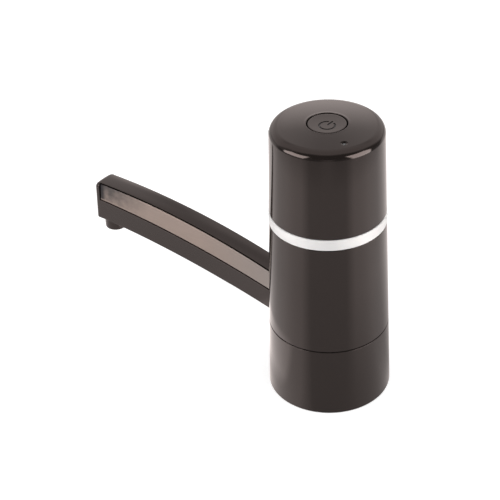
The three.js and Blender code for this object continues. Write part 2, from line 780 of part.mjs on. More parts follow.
function batteryCradle() {
  const outer = cellRadius + fit + cradleWall;
  const top = cellTop + contactThickness + contactHeadroom + cradleEnd;
  const wall = tube(outer, cellRadius + fit, cradleZ, top);
  const ends = [
    rod(outer - cradleWall / 2, cradleZ, cradleZ + cradleEnd),
    rod(outer - cradleWall / 2, top - cradleEnd, top),
  ];
  const half = (cradleOpening / 2) * toRadians;
  const [mouthX, mouthY] = [cradleMouthReach * Math.sin(half), cradleMouthReach * Math.cos(half)];
  const mouth = outline([[0, 0], [-mouthX, -mouthY], [mouthX, -mouthY]]);
  const opening = prism(mouth, cradleZ + cradleEnd + fit, top + overrun);
  return join(cut(wall, opening), ...ends);
}

const contactPlate = (bottom) =>
  box(-contactWidth / 2, contactWidth / 2, -contactTabReach, contactWidth / 2,
    bottom, bottom + contactThickness);

// The negative contact has a bent leaf that presses up on the cell.
function negativeContact() {
  const bottom = cradleZ + cradleEnd + fit;
  const leafTop = cellZ - fit;
  const leaf = outline([
    [-contactWidth / 2, bottom], [-contactWidth / 2 + contactThickness, bottom],
    [contactWidth / 2, leafTop - contactThickness], [contactWidth / 2, leafTop],
    [contactWidth / 2 - contactThickness, leafTop],
  ]);
  return join(contactPlate(bottom), slab(leaf, -contactLeafWidth / 2, contactLeafWidth / 2));
}

// Button, switch and light

function powerSymbol() {
  const half = (symbolOpening / 2) * toRadians;
  const [start, end] = [Math.PI / 2 + half, Math.PI / 2 - half + 2 * Math.PI];
  const shape = new THREE.Shape();
  shape.absarc(0, 0, symbolRadius + symbolStroke / 2, start, end);
  shape.absarc(0, 0, symbolRadius - symbolStroke / 2, end, start, true);
  const bottom = bodyHeight - symbolDepth;
  const top = bodyHeight + overrun;
  const arc = prism(shape, bottom, top, smallSteps);
  const bar = box(-symbolStroke / 2, symbolStroke / 2, symbolBarInner, symbolBarOuter, bottom, top);
  return join(arc, bar);
}

function powerButton() {
  const flangeTopZ = guideBottom - fit;
  const flangeBottomZ = flangeTopZ - buttonFlangeHeight;
  const flange = buttonRadius + buttonFlangeWidth;
  const under = bodyHeight - buttonPlate;
  const bend = buttonEdge * buttonEdgeShare;
  const shell = lathe([
    [0, under], [buttonRadius - buttonWall, under], [buttonRadius - buttonWall, flangeBottomZ],
    [flange, flangeBottomZ], [flange, flangeTopZ], [buttonRadius, flangeTopZ],
    [buttonRadius, bodyHeight - buttonEdge], [buttonRadius - bend, bodyHeight - bend],
    [buttonRadius - buttonEdge, bodyHeight], [0, bodyHeight],
  ], coreSteps);
  return cut(join(shell, rod(buttonStemRadius, stemBottom, under + fit, smallSteps)), powerSymbol());
}

function switchBody() {
  const half = switchSize / 2;
  const bottom = boardTop + fit;
  const top = bottom + switchHeight;
  const boreBottom = top + plungerProud - plungerHeight - buttonTravel - 2 * fit;
  const bore = rod(plungerRadius + fit, boreBottom, top + overrun, smallSteps);
  return cut(box(-half, half, -half, half, bottom, top), bore);
}

function switchPlunger() {
  const top = boardTop + fit + switchHeight + plungerProud;
  return rod(plungerRadius, top - plungerHeight, top, smallSteps);
}

function controlBoard() {
  const disc = rod(boardRadius, boardHeight, boardTop, coreSteps);
  const holes = rodsAt(boardBossPlaces, screwRadius + fit, boardHeight - overrun, boardTop + overrun);
  return cut(disc, ...holes);
}

function usbSocket() {
  const z = boardTop + fit + usbHeight / 2;
  const mouth = column(z) - usbSetback;
  const shell = prism(roundedRectangle(usbWidth, usbHeight, usbCorner), 0, usbDepth);
  const opening = prism(
    roundedRectangle(usbWidth - 2 * usbWall, usbHeight - 2 * usbWall, usbCorner - usbWall),
    usbFloor, usbDepth + overrun,
  );
  const tongue = box(-usbTongueWidth / 2, usbTongueWidth / 2,
    -usbTongueThickness / 2, usbTongueThickness / 2, usbWall, usbDepth - usbTongueSetback);
  return moved(join(cut(shell, opening), tongue).rotate([-90, 0, 0]), 0, mouth - usbDepth, z);
}

// Spout, in its own group: X runs outward from the column's axis

const arcHeight = ({ x, z, radius }, at) => z - radius + Math.sqrt(radius ** 2 - (at - x) ** 2);
const underside = (at) => arcHeight(spoutUnderArc, at);
const topSide = (at) => arcHeight(spoutTopArc, at);
const bandTop = (at) => underside(at) + bandHeight;

// The tube's axis rises in one smooth step from its entry to its place above the underside.
function tubeAxis(at) {
  const share = Math.min(1, Math.max(0, (at - padDistance) / tubeEntryBlend));
  const eased = share * share * (3 - 2 * share);
  return (1 - eased) * (tubeEntry + (underside(at) - underside(padDistance)) * eased)
    + eased * (underside(at) + tubeRise);
}

// A closed side view between two height curves.
function between(low, high, from, to, farTop = to) {
  const points = [];
  for (let i = 0; i <= arcSteps; i++) {
    const at = from + ((to - from) * i) / arcSteps;
    points.push([at, low(at)]);
  }
  for (let i = arcSteps; i >= 0; i--) {
    const at = from + ((farTop - from) * i) / arcSteps;
    points.push([at, high(at)]);
  }
  return outline(points);
}

const sideOf = (depth) => spoutWidth / 2 - depth;

// Cuts a piece to the leaning face of the pad and, below the seam, to the round collar.
function saddled(piece) {
  const [bottom, top] = [collarHeight, bodyHeight];
  const room = outline([
    [0, bottom], [padFace(bottom) + fit, bottom], [padFace(top) + fit, top], [0, top],
  ]);
  return cut(piece, slab(room, -baseRadius, baseRadius), taper(0, collarHeight + seamGroove, fit));
}

function spoutBody() {
  const from = padInner;
  const bevel = {
    depth: spoutWidth - 2 * spoutEdge, bevelThickness: spoutEdge, bevelSize: spoutEdge,
    bevelOffset: -spoutEdge, bevelSegments: 2,
  };
  const side = between(underside, topSide, from, spoutUnderReach, spoutTopReach);
  const blank = solid(
    new THREE.ExtrudeGeometry(side, bevel).rotateX(Math.PI / 2).translate(0, sideOf(spoutEdge), 0),
  );
  const plan = roundedRectangle(2 * spoutUnderReach, spoutWidth, spoutTipCorner);
  const shaped = blank.intersect(prism(plan, 0, bodyHeight));
  const recess = between(bandTop, (at) => topSide(at) - topFlange, from - overrun,
    spoutTopReach - recessFrame);
  const farRecess = slab(recess, sideOf(stripDepth), sideOf(-overrun));
  const nearRecess = slab(recess, -sideOf(-overrun), -sideOf(stripDepth));
  const channelHalf = tubeRadius + fit;
  const channel = slab(
    between((at) => underside(at) - overrun, (at) => tubeAxis(at) + channelHalf, from, nozzlePlace),
    -channelHalf, channelHalf,
  );
  const socket = moved(
    rod(nozzleNeckRadius + fit, 0, underside(nozzlePlace) + nozzleNeckLength + fit, smallSteps),
    nozzlePlace, 0, 0,
  );
  const well = moved(
    rod(channelHalf, 0, tubeAxis(nozzlePlace) + channelHalf, smallSteps), nozzlePlace, 0, 0,
  );
  const screwHole = lyingRod(screwRadius + runningFit, from, padDistance + spoutScrewLength);
  const screwHoles = spoutScrewPlaces.map((z) => moved(screwHole, 0, 0, z));
  return cut(saddled(shaped), farRecess, nearRecess, channel, socket, well, ...screwHoles);
}

// An angled metal strip: its web lies in the recess and its lip on the ledge below it.
function spoutStrip(side) {
  const from = padDistance + 2 * fit;
  const to = spoutTopReach - recessFrame - fit;
  const low = (at) => bandTop(at) + fit / 2;
  const web = between(low, (at) => topSide(at) - topFlange - fit / 2, from, to);
  const lip = between(low, (at) => low(at) + stripThickness, from, to);
  const [webIn, webOut] = [sideOf(recessSink + stripThickness), sideOf(recessSink)];
  const lipOut = webOut + stripLip;
  const made = join(slab(web, webIn, webOut), slab(lip, webIn, lipOut));
  return side > 0 ? made : made.mirror([0, 1, 0]);
}

function spoutUndersideCover() {
  const half = tubeRadius;
  const shape = between((at) => underside(at) + fit / 2, (at) => underside(at) + coverThickness,
    padInner, nozzlePlace - nozzleRadius - fit);
  return saddled(slab(shape, -half, half));
}

function spoutTube() {
  const bendStart = nozzlePlace - tubeBend;
  const points = [];
  const first = padDistance - tubeInset;
  points.push(new THREE.Vector3(first, 0, tubeEntry));
  points.push(new THREE.Vector3((first + padDistance) / 2, 0, tubeEntry));
  for (let i = 0; i <= arcSteps; i++) {
    const at = padDistance + ((bendStart - padDistance) * i) / arcSteps;
    points.push(new THREE.Vector3(at, 0, tubeAxis(at)));
  }
  const level = tubeAxis(bendStart) - tubeBend;
  for (let i = 1; i <= bendSteps; i++) {
    const angle = ((Math.PI / 2) * i) / bendSteps;
    points.push(new THREE.Vector3(
      bendStart + tubeBend * Math.sin(angle), 0, level + tubeBend * Math.cos(angle),
    ));
  }
  points.push(new THREE.Vector3(nozzlePlace, 0, level - tubeTail));
  return along(points, tubeRadius, tubeBore, tubeSides, 1);
}

function spoutNozzle() {
  const seat = underside(nozzlePlace) - fit;
  const foot = seat - nozzleDrop;
  const top = seat + fit + nozzleNeckLength;
  const tubeEnd = tubeAxis(nozzlePlace - tubeBend) - tubeBend - tubeTail;
  const stop = tubeEnd - fit;
  return moved(lathe([
    [nozzleBore, foot], [nozzleRadius - nozzleEdge, foot], [nozzleRadius, foot + nozzleEdge],
    [nozzleRadius, seat], [nozzleNeckRadius, seat], [nozzleNeckRadius, top],
    [tubeRadius + tubeSocketFit, top], [tubeRadius + tubeSocketFit, stop], [tubeBore, stop],
    [tubeBore, foot + nozzleBoreDepth], [nozzleBore, foot + nozzleBoreDepth],
  ]), nozzlePlace, 0, 0);
}

// Hoses and wires

function inletHose() {
  const bottom = nippleFlangeZ + nippleFlangeHeight + fit;
  return tube(hoseRadius, hoseBore, bottom, pumpZ - fit, hoseSides);
}

// From the outlet, down through a quarter turn, then across to the end of the spout's tube.
function outletHose() {
  const start = new THREE.Vector3(pumpX, outletY, pumpZ - fit);
  const hoseEndX = -(padDistance - tubeInset);
  const end = new THREE.Vector3(-(padInner - fit), 0, tubeEntry);
  const straight = new THREE.Vector3(hoseEndX + hoseRadius / 2, 0, tubeEntry);
  const bendTop = pumpZ - portLength - fit;
  const drop = bendTop - tubeEntry;
  const heading = new THREE.Vector3(straight.x - start.x, straight.y - start.y, 0).normalize();
  const points = [start, new THREE.Vector3(start.x, start.y, bendTop)];
  for (let i = 1; i <= bendSteps; i++) {
    const angle = ((Math.PI / 2) * i) / bendSteps;
    const out = drop * (1 - Math.cos(angle));
    points.push(new THREE.Vector3(
      start.x + heading.x * out, start.y + heading.y * out, bendTop - drop * Math.sin(angle),
    ));
  }
  const last = points[points.length - 1];
  points.push(last.clone().lerp(straight, 1 / 2), straight);
  points.push(straight.clone().lerp(end, 1 / 2), end);
  return along(points, hoseRadius, hoseBore, hoseSides, bowSteps);
}

// A wire that leaves a terminal straight up and bows out on its way to the board.
function wire(from, to, bow) {
  const middle = from.clone().lerp(to, 1 / 2).add(bow);
  const rise = new THREE.Vector3(0, 0, (to.z - from.z) * wireRiseShare);
  const points = [from, from.clone().add(rise), middle, to.clone().sub(rise), to];
  return along(points, wireRadius, 0, wireSides, bowSteps);
}

// The whole pump

function addColumn() {
  add(pump, "base_collar", baseCollar(), "blackShell");
  add(pump, "neck_sleeve", neckSleeve(), "silicone");
  add(pump, "neck_gasket", neckGasket(), "silicone");
  add(pump, "lower_housing", lowerHousing(), "blackShell");
  add(pump, "trim_ring", trimRing(), "silver");
  add(pump, "upper_housing", upperHousing(), "blackShell");
}

function addDeck() {
  add(pump, "pump_deck", pumpDeck(), "innerPlastic");
  const inlet = new THREE.Group();
  inlet.position.set(pumpX, inletY, 0);
  add(inlet, "inlet_nipple", inletNipple(), "innerPlastic");
  add(inlet, "nipple_nut", nippleNut(), "innerPlastic");
  add(inlet, "inlet_hose", inletHose(), "silicone");
  pump.add(inlet);
  add(pump, "outlet_hose", outletHose(), "silicone");
  const screwZ = flangeBottom + screwHeadHeight + fit / 2;
  const deckScrewLength = deckTop + deckBossHeight - 2 * overrun - screwZ - fit;
  addScrews(pump, "deck_screw", deckScrewLength, deckScrewPlaces.map(([x, y]) => (
    { at: [x, y, screwZ - fit] }
  )));
}

function addGearPump() {
  add(pump, "pump_body", pumpBody(), "innerPlastic");
  add(pump, "pump_cover", pumpCover(), "innerPlastic");
  add(pump, "motor_bracket", motorBracket(), "innerPlastic");
  const driven = new THREE.Group();
  driven.position.set(motorX, motorY, 0);
  add(driven, "drive_gear", gearBlank(0, shaftRadius + runningFit), "innerPlastic");
  const sealBottom = pumpBodyZ + pumpBodyHeight - sealHeight;
  const sealTop = sealBottom + sealHeight;
  const seal = tube(sealRadius, shaftRadius + runningFit, sealBottom, sealTop, smallSteps);
  add(driven, "shaft_seal", seal, "silicone");
  pump.add(driven);
  const idler = new THREE.Group();
  idler.position.set(pumpX - gearPitch, motorY, 0);
  add(idler, "idler_gear", gearBlank(toothTurnShare, pinRadius + runningFit), "innerPlastic");
  const pinBottom = pumpBodyZ - fit - pinSeat;
  const pinTop = gearZ + gearHeight + fit + pinSeat;
  add(idler, "idler_pin", rod(pinRadius, pinBottom, pinTop, smallSteps), "steel");
  pump.add(idler);
  const ownScrewLength = bracketZ + bracketThickness - pumpZ;
  addScrews(pump, "pump_screw", ownScrewLength, pumpScrewPlaces.map(([x, y]) => (
    { at: [x, y, pumpZ - fit] }
  )));
  addScrews(pump, "bracket_screw", bracketScrewLength, postPlaces.map(([x, y]) => (
    { at: [x, y, bracketZ + bracketThickness + fit], turnX: Math.PI }
  )));
}

function addMotor() {
  const motor = new THREE.Group();
  motor.position.set(motorX, motorY, motorZ);
  add(motor, "motor_can", motorCan(), "steel");
  add(motor, "motor_end_cap", motorEndCap(), "blackPart");
  add(motor, "motor_armature", motorArmature(), "brass");
  add(motor, "motor_magnet_1", motorMagnet(), "magnet");
  add(motor, "motor_magnet_2", turnedAbout(motorMagnet(), 180), "magnet");
  const shaftBottom = gearZ - motorZ;
  const shaftTop = motorLength + fit + motorCapHeight + shaftTopProud;
  add(motor, "motor_shaft", rod(shaftRadius, shaftBottom, shaftTop, smallSteps), "steel");
  pump.add(motor);
}

function addBattery() {
  const battery = new THREE.Group();
  battery.position.set(0, cellY, 0);
  add(battery, "battery_cradle", batteryCradle(), "blackPart");
  add(battery, "battery_cell", rod(cellRadius, cellZ, cellTop), "cellWrap");
  add(battery, "battery_contact_negative", negativeContact(), "brass");
  add(battery, "battery_contact_positive", contactPlate(cellTop + fit), "brass");
  pump.add(battery);
}

function addBoard() {
  add(pump, "control_board", controlBoard(), "board");
  add(pump, "switch_body", switchBody(), "blackPart");
  add(pump, "switch_plunger", switchPlunger(), "innerPlastic");
  add(pump, "usb_socket", usbSocket(), "steel");
  const half = ledSize / 2;
  const ledTop = boardTop + fit + ledHeight;
  add(pump, "status_led",
    box(lightX - half, lightX + half, lightY - half, lightY + half, boardTop + fit, ledTop), "clear");
  const pipe = rod(lightPipeRadius, ledTop + fit, dimpleBottom + fit, smallSteps);
  add(pump, "light_pipe", moved(pipe, lightX, lightY, 0), "clear");
  add(pump, "power_button", powerButton(), "blackShell");
  const screwLength = boardThickness + boardScrewLength - overrun;
  addScrews(pump, "board_screw", screwLength, boardBossPlaces.map(([x, y]) => (
    { at: [x, y, boardHeight - fit] }
  )));
}

function addSpout() {
  const spout = new THREE.Group();
  spout.rotation.z = Math.PI;
  add(spout, "spout_body", spoutBody(), "blackShell");
  add(spout, "spout_underside_cover", spoutUndersideCover(), "blackShell");
  add(spout, "spout_trim_near", spoutStrip(1), "strip");
  add(spout, "spout_trim_far", spoutStrip(-1), "strip");
  add(spout, "spout_tube", spoutTube(), "clear");
  add(spout, "spout_nozzle", spoutNozzle(), "blackShell");
  addScrews(spout, "spout_screw", spoutScrewLength, spoutScrewPlaces.map((z) => (
    { at: [padInner - fit, 0, z], turnY: Math.PI / 2 }
  )));
  pump.add(spout);
}

function addWires() {
  const boardUnder = boardHeight - fit;
  const terminalTop = motorTop + fit + motorCapHeight + terminalHeight + fit;
  [1, -1].forEach((side, i) => {
    const from = new THREE.Vector3(motorX + (side * terminalSpread) / 2, motorY, terminalTop);
    const to = new THREE.Vector3(motorX + side * terminalSpread, motorLeadEndY, boardUnder);
    const bow = new THREE.Vector3(side * terminalWidth, 0, 0);
    add(pump, `motor_lead_${i + 1}`, wire(from, to, bow), i ? "blackPart" : "red");
  });
  const tabY = cellY - contactTabReach + wireRadius;
  const lowTab = cradleZ + cradleEnd + fit + contactThickness + fit;
  const highTab = cellTop + fit + contactThickness + fit;
  [lowTab, highTab].forEach((z, i) => {
    const side = i ? 1 : -1;
    const from = new THREE.Vector3(side * batteryLeadSpread, tabY, z);
    const to = new THREE.Vector3(side * contactWidth, batteryLeadEndY, boardUnder);
    const lead = wire(from, to, new THREE.Vector3(0, 0, 0));
    add(pump, `battery_lead_${i + 1}`, lead, i ? "red" : "blackPart");
  });
}

addColumn();
addDeck();
addGearPump();
addMotor();
addBattery();
addBoard();
addSpout();
addWires();

export default pump;
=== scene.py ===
# Looks of the electric water jug pump: fine shells, finishes, floor, light and camera.
# Lengths are millimetres until a mesh is made. The spout points along -X, and +Z is up.
import math

import bmesh
import bpy
from mathutils import Matrix, Vector


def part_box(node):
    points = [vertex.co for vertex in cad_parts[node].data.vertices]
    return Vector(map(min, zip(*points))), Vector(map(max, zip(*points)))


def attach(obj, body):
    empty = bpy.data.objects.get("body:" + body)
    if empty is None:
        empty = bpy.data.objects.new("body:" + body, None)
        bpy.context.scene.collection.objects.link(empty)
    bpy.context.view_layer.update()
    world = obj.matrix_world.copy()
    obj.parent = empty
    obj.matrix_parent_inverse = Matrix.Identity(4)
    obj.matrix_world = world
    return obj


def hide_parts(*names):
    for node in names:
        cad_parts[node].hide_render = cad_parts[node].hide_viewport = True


MM = 0.001
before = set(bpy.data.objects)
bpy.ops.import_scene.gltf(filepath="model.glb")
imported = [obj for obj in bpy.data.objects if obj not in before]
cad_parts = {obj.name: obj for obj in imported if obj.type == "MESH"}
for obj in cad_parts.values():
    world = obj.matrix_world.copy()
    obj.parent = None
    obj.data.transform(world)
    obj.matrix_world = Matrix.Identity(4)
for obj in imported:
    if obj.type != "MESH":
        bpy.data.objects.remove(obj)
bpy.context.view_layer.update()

# Level directions of the photograph's view, towards the camera and to its right
VIEW_TURN = math.radians(35.05)
AHEAD = (math.sin(VIEW_TURN), -math.cos(VIEW_TURN))
RIGHTWARD = (math.cos(VIEW_TURN), math.sin(VIEW_TURN))

# Column shell
BASE_RADIUS = 36.0
TOP_RADIUS = 31.4
HEIGHT = 172.7
WALL = 2.2
COLLAR_TOP = 43.5
LOWER_BOTTOM = 44.0
RING_BOTTOM = 112.15
RING_TOP = 118.6
RING_GAP = 0.2
RING_PROUD = 0.2
SPIGOT = 30.1
SPIGOT_WALL = 1.8
SPIGOT_LENGTH = 5.4
TOP_FILLET = 5.0
TOP_CROWN = 0.8
SHOULDER = HEIGHT - TOP_CROWN - TOP_FILLET  # where the top's rounding begins
TOP_UNDER = 169.7
EDGE = 0.35

# Pad behind the spout
PAD_PROUD = 0.1
PAD_LEAN = 0.002  # outward, for each millimetre above a height
PAD_LEAN_FROM = 85
PAD_HALF = 11.0
PAD_CORNER = 0.8
PAD_FLANK_SLOPE = 14
PAD_FLANK_REACH = 2.4
PAD_TOP = 163.0
PAD_END = 168.2
PAD_SLOPE = 0.72
PAD_INNER = 30.1

# Button
BUTTON = 10.6
BUTTON_FACE = 10.1  # radius of its dish, inside the rounded rim
BUTTON_HOLE = 11.3
HOLE_EDGE = 0.4
BUTTON_TOP = 172.35
BUTTON_DISH = 0.06
GUIDE_WALL = 1.8
GUIDE_BOTTOM = 163.7
SYMBOL = 4.25
SYMBOL_GAP = 28  # degrees to each side of its bar
SYMBOL_BAR = 5.0
SYMBOL_BAR_AT = 2.9
STROKE = 1.1
SYMBOL_SHIFT = 2.2
ENGRAVED = 171.95

# Spout, measured outward from the column's axis
SPOUT_ROOT = 34.85
SPOUT_FIT = 0.3
SPOUT_HALF = 7.6
SPOUT_TOP_REACH = 173.5
SPOUT_UNDER_REACH = 174.7
SPOUT_TOP_LENGTH = SPOUT_TOP_REACH - SPOUT_ROOT
SPOUT_LENGTH = SPOUT_UNDER_REACH - SPOUT_ROOT
TOP_PEAK = 80.45
TOP_ARC = 505.0
TOP_PEAK_AT = 161.1
UNDER_PEAK = 54.6
UNDER_ARC = 704.5
UNDER_PEAK_AT = 190.1
TIP_DROP = 0.045  # how fast the under edge drops near the tip
TIP_DROP_FROM = 166
SPOUT_EDGE = 0.5
SPOUT_TOP_EDGE = 2.0
SPOUT_CROWN = 60.0
SPOUT_TIP_CORNER = 2.4
SPOUT_FAR_CORNER = 4.2
SPOUT_NOSE = 3.5
BAND = 13.6
LIP_INSET = 1.45
LIP = 0.1
RECESS_FRAME = 3.9
RECESS_FLOOR = 4.65
STRIP_GAP = 0.3
STRIP_TOP_GAP = 0.65
STRIP_END_GAP = 0.7
STRIP_WALL = 0.8
STRIP_BACK = 4.8
STRIP_TOP_FACE = 6.7
STRIP_FOOT_FACE = 7.2
CHANNEL = 3.1
TUBE_ENTRY = 47.9
TUBE_BLEND = 27
TUBE_RISE = 6.8
NOZZLE_PLACE = 165.2
NOZZLE = 6.9

# Neck seat and inlet
INLET_AT = (-0.4, -7.5)
NECK_BORE = 27.7
SLEEVE_TOP = 36.9

# Light: the tint of what gloss reflects, and the lamps' aim
GLOSS_TINT = (1.0, 0.90, 0.87)
LAMP_AIM = 150  # height that the soft panels face


def column(z):
    return BASE_RADIUS - (BASE_RADIUS - TOP_RADIUS) * z / HEIGHT


def inner(z):
    return column(z) - WALL


def pad_face(z):
    return column(z) + PAD_PROUD + PAD_LEAN * max(0, z - PAD_LEAN_FROM)


def spout_under(at):
    return UNDER_PEAK - UNDER_ARC + math.sqrt(UNDER_ARC ** 2 - (at - UNDER_PEAK_AT) ** 2)


def spout_top(at):
    return TOP_PEAK - TOP_ARC + math.sqrt(TOP_ARC ** 2 - (at - TOP_PEAK_AT) ** 2)


def span(node):
    """The bottom and top of a CAD node, in millimetres."""
    low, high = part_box(node)
    return low[2] / MM, high[2] / MM


def soft_max(a, b, width):
    """The larger of two values, eased where they are within a width of each other."""
    near = max(width - abs(a - b), 0) / width
    return max(a, b) + near * near * width / 4


# Meshes

def piece(name, points, faces, crease=38):
    """A closed mesh from points in millimetres, smooth except across creases."""
    mesh = bpy.data.meshes.new(name)
    mesh.from_pydata([Vector(p) * MM for p in points], [], faces)
    tool = bmesh.new()
    tool.from_mesh(mesh)
    bmesh.ops.recalc_face_normals(tool, faces=tool.faces)
    tool.to_mesh(mesh)
    tool.free()
    made = bpy.data.objects.new(name, mesh)
    bpy.context.scene.collection.objects.link(made)
    smooth(made, crease)
    return made


def smooth(made, crease=38):
    made.data.polygons.foreach_set("use_smooth", [True] * len(made.data.polygons))
    made.data.set_sharp_from_angle(angle=math.radians(crease))


def skin(name, loops, wrap=False, crease=38):
    """Joins loops of equally many points. It wraps round to the first loop, or ends in caps."""
    count = len(loops[0])
    points = [p for loop in loops for p in loop]
    faces = []
    spans = range(len(loops) if wrap else len(loops) - 1)
    for i in spans:
        a, b = i * count, ((i + 1) % len(loops)) * count
        faces += [(a + k, a + (k + 1) % count, b + (k + 1) % count, b + k) for k in range(count)]
    if not wrap:
        last = (len(loops) - 1) * count
        faces += [tuple(range(count))[::-1], tuple(range(last, last + count))]
    return piece(name, points, faces, crease)


def turned(name, profile, steps=96, at=(0, 0), crease=38):
    """A solid of revolution about a vertical axis, from a closed profile of (radius, height)."""
    points, rings = [], []
    for r, z in profile:
        if r < 1e-6:
            rings.append([len(points)] * steps)
            points.append((at[0], at[1], z))
        else:
            rings.append(list(range(len(points), len(points) + steps)))
            for k in range(steps):
                angle = 2 * math.pi * k / steps
                points.append((at[0] + r * math.cos(angle), at[1] + r * math.sin(angle), z))
    faces = []
    for i, ring in enumerate(rings):
        other = rings[(i + 1) % len(rings)]
        for k in range(steps):
            face = [ring[k], ring[(k + 1) % steps], other[(k + 1) % steps], other[k]]
            face = [v for n, v in enumerate(face) if v not in face[:n]]
            if len(face) > 2:
                faces.append(face)
    return piece(name, points, faces, crease)


def rounded(corners, steps=5):
    """A closed outline with its corners rounded. Each corner is (a, b) or (a, b, radius)."""
    made = []
    for i, corner in enumerate(corners):
        here = Vector(corner[:2])
        if len(corner) < 3 or corner[2] == 0:
            made.append(tuple(here))
            continue
        before = (Vector(corners[i - 1][:2]) - here).normalized()
        after = (Vector(corners[(i + 1) % len(corners)][:2]) - here).normalized()
        half = before.angle(after) / 2
        centre = here + (before + after).normalized() * corner[2] / math.sin(half)
        reach = corner[2] / math.tan(half)
        first, last = here + before * reach - centre, here + after * reach - centre
        turn = first.angle_signed(last)
        for k in range(steps + 1):
            made.append(tuple(centre + Matrix.Rotation(-turn * k / steps, 2) @ first))
    return made


def quarter(radius, steps=5):
    """(along, inset) pairs of a rounded edge, from its flat end to its side."""
    return [(radius * (1 - math.cos(a)), radius * (1 - math.sin(a)))
            for a in (math.pi / 2 * k / steps for k in range(steps + 1))]


def combine(made, tool, operation):
    """Cuts one mesh with another, or joins it on, and drops the tool."""
    step = made.modifiers.new("shape", "BOOLEAN")
    step.object = tool
    step.operation = operation
    step.solver = "EXACT"
    shaped = made.evaluated_get(bpy.context.evaluated_depsgraph_get())
    done = bpy.data.meshes.new_from_object(shaped)
    made.modifiers.clear()
    made.data = done
    bpy.data.objects.remove(tool)
    smooth(made)
    return made


def even_normals(made):
    """Keeps flat faces flat beside rounded edges."""
    step = made.modifiers.new("flat faces", "WEIGHTED_NORMAL")
    step.keep_sharp = True
    step.weight = 80
    return made


# Column shells

BACK_STEPS = 216
FACE_STEPS = 24
FLANK = [1.5, 0.9, 0.55, 0.35, 0.24, 0.17, 0.13, 0.1, 0.07, 0.04, 0.01, -0.02, -0.05,
         -0.1, -0.17, -0.26, -0.37, -0.5, -0.66, -0.85, -1.3]


def pad_outline(radius, reach, half, z):
    """One turn round the column at a height, with the pad's flat face at a reach."""
    start = math.pi - math.asin((half + PAD_FLANK_REACH) / radius)
    loop = []
    for k in range(BACK_STEPS + 1):
        angle = start * (1 - 2 * k / BACK_STEPS)
        loop.append((radius * math.cos(angle), radius * math.sin(angle), z))
    edge = half + FLANK[-1]
    face = [edge * (2 * k / FACE_STEPS - 1) for k in range(1, FACE_STEPS)]
    places = [-half - d for d in FLANK] + face + [half + d for d in reversed(FLANK)]
    for y in places:
        past = abs(y) - half + PAD_CORNER
        if past <= 0:
            stand = reach
        elif past <= PAD_CORNER:
            stand = reach - PAD_CORNER + math.sqrt(PAD_CORNER ** 2 - past ** 2)
        else:
            stand = reach - PAD_CORNER - (past - PAD_CORNER) * PAD_FLANK_SLOPE
        loop.append((-soft_max(math.sqrt(radius ** 2 - y ** 2), stand, 0.35), y, z))
    return loop


def column_loop(z, inset=0.0, pad=True):
    radius = column(z) - inset
    return pad_outline(radius, pad_face(z) - inset if pad else 0, PAD_HALF - inset, z)


MASTER = [Vector(p[:2]).normalized() for p in pad_outline(TOP_RADIUS, 0, PAD_HALF, 0)]


def circle_loop(radius, z):
    return [(v.x * radius, v.y * radius, z) for v in MASTER]


def inner_loop(radius, z):
    """The inside of the wall, with the flat seat behind the pad."""
    return [(max(v.x * radius, -PAD_INNER) if abs(v.y * radius) < PAD_HALF else v.x * radius,
             v.y * radius, z) for v in MASTER]


def collar():
    loops = [circle_loop(column(a) - i, a) for a, i in quarter(0.7)]
    top = column(COLLAR_TOP)
    loops += [circle_loop(top - i, COLLAR_TOP - a) for a, i in reversed(quarter(EDGE))]
    loops += [circle_loop(inner(COLLAR_TOP), COLLAR_TOP), circle_loop(inner(40.2), 40.2)]
    loops += [circle_loop(26.6 + i, 40.2 - a) for a, i in quarter(0.4, 3)]
    loops += [circle_loop(26.6 + i, 37.2 + a) for a, i in reversed(quarter(0.4, 3))]
    loops += [circle_loop(inner(37.2), 37.2)]
    loops += [circle_loop(inner(0) + i, a) for a, i in reversed(quarter(0.5, 3))]
    return skin("collar_shell", loops, wrap=True)


def lower_shell():
    top = RING_BOTTOM - RING_GAP
    loops = [column_loop(LOWER_BOTTOM + a, i) for a, i in quarter(EDGE)]
    loops += [column_loop(top - a, i) for a, i in reversed(quarter(EDGE))]
    loops += [circle_loop(SPIGOT, top), circle_loop(SPIGOT, RING_TOP + SPIGOT_LENGTH - 0.3)]
    loops += [circle_loop(SPIGOT - 0.3, RING_TOP + SPIGOT_LENGTH)]
    loops += [circle_loop(SPIGOT - SPIGOT_WALL, RING_TOP + SPIGOT_LENGTH)]
    foot = RING_BOTTOM - SPIGOT_LENGTH
    loops += [circle_loop(SPIGOT - SPIGOT_WALL, foot), inner_loop(inner(foot), foot)]
    loops += [inner_loop(inner(LOWER_BOTTOM), LOWER_BOTTOM)]
    return skin("lower_shell", loops, wrap=True)


def ring_shell():
    def loop(z, inset):
        out = RING_PROUD - inset
        return pad_outline(column(z) + out, pad_face(z) + out, PAD_HALF + out, z)
    loops = [loop(RING_BOTTOM + a, i) for a, i in quarter(EDGE)]
    loops += [loop(RING_TOP - a, i) for a, i in reversed(quarter(EDGE))]
    loops += [circle_loop(SPIGOT + 0.3, RING_TOP), circle_loop(SPIGOT + 0.3, RING_BOTTOM)]
    return skin("silver_ring", loops, wrap=True)


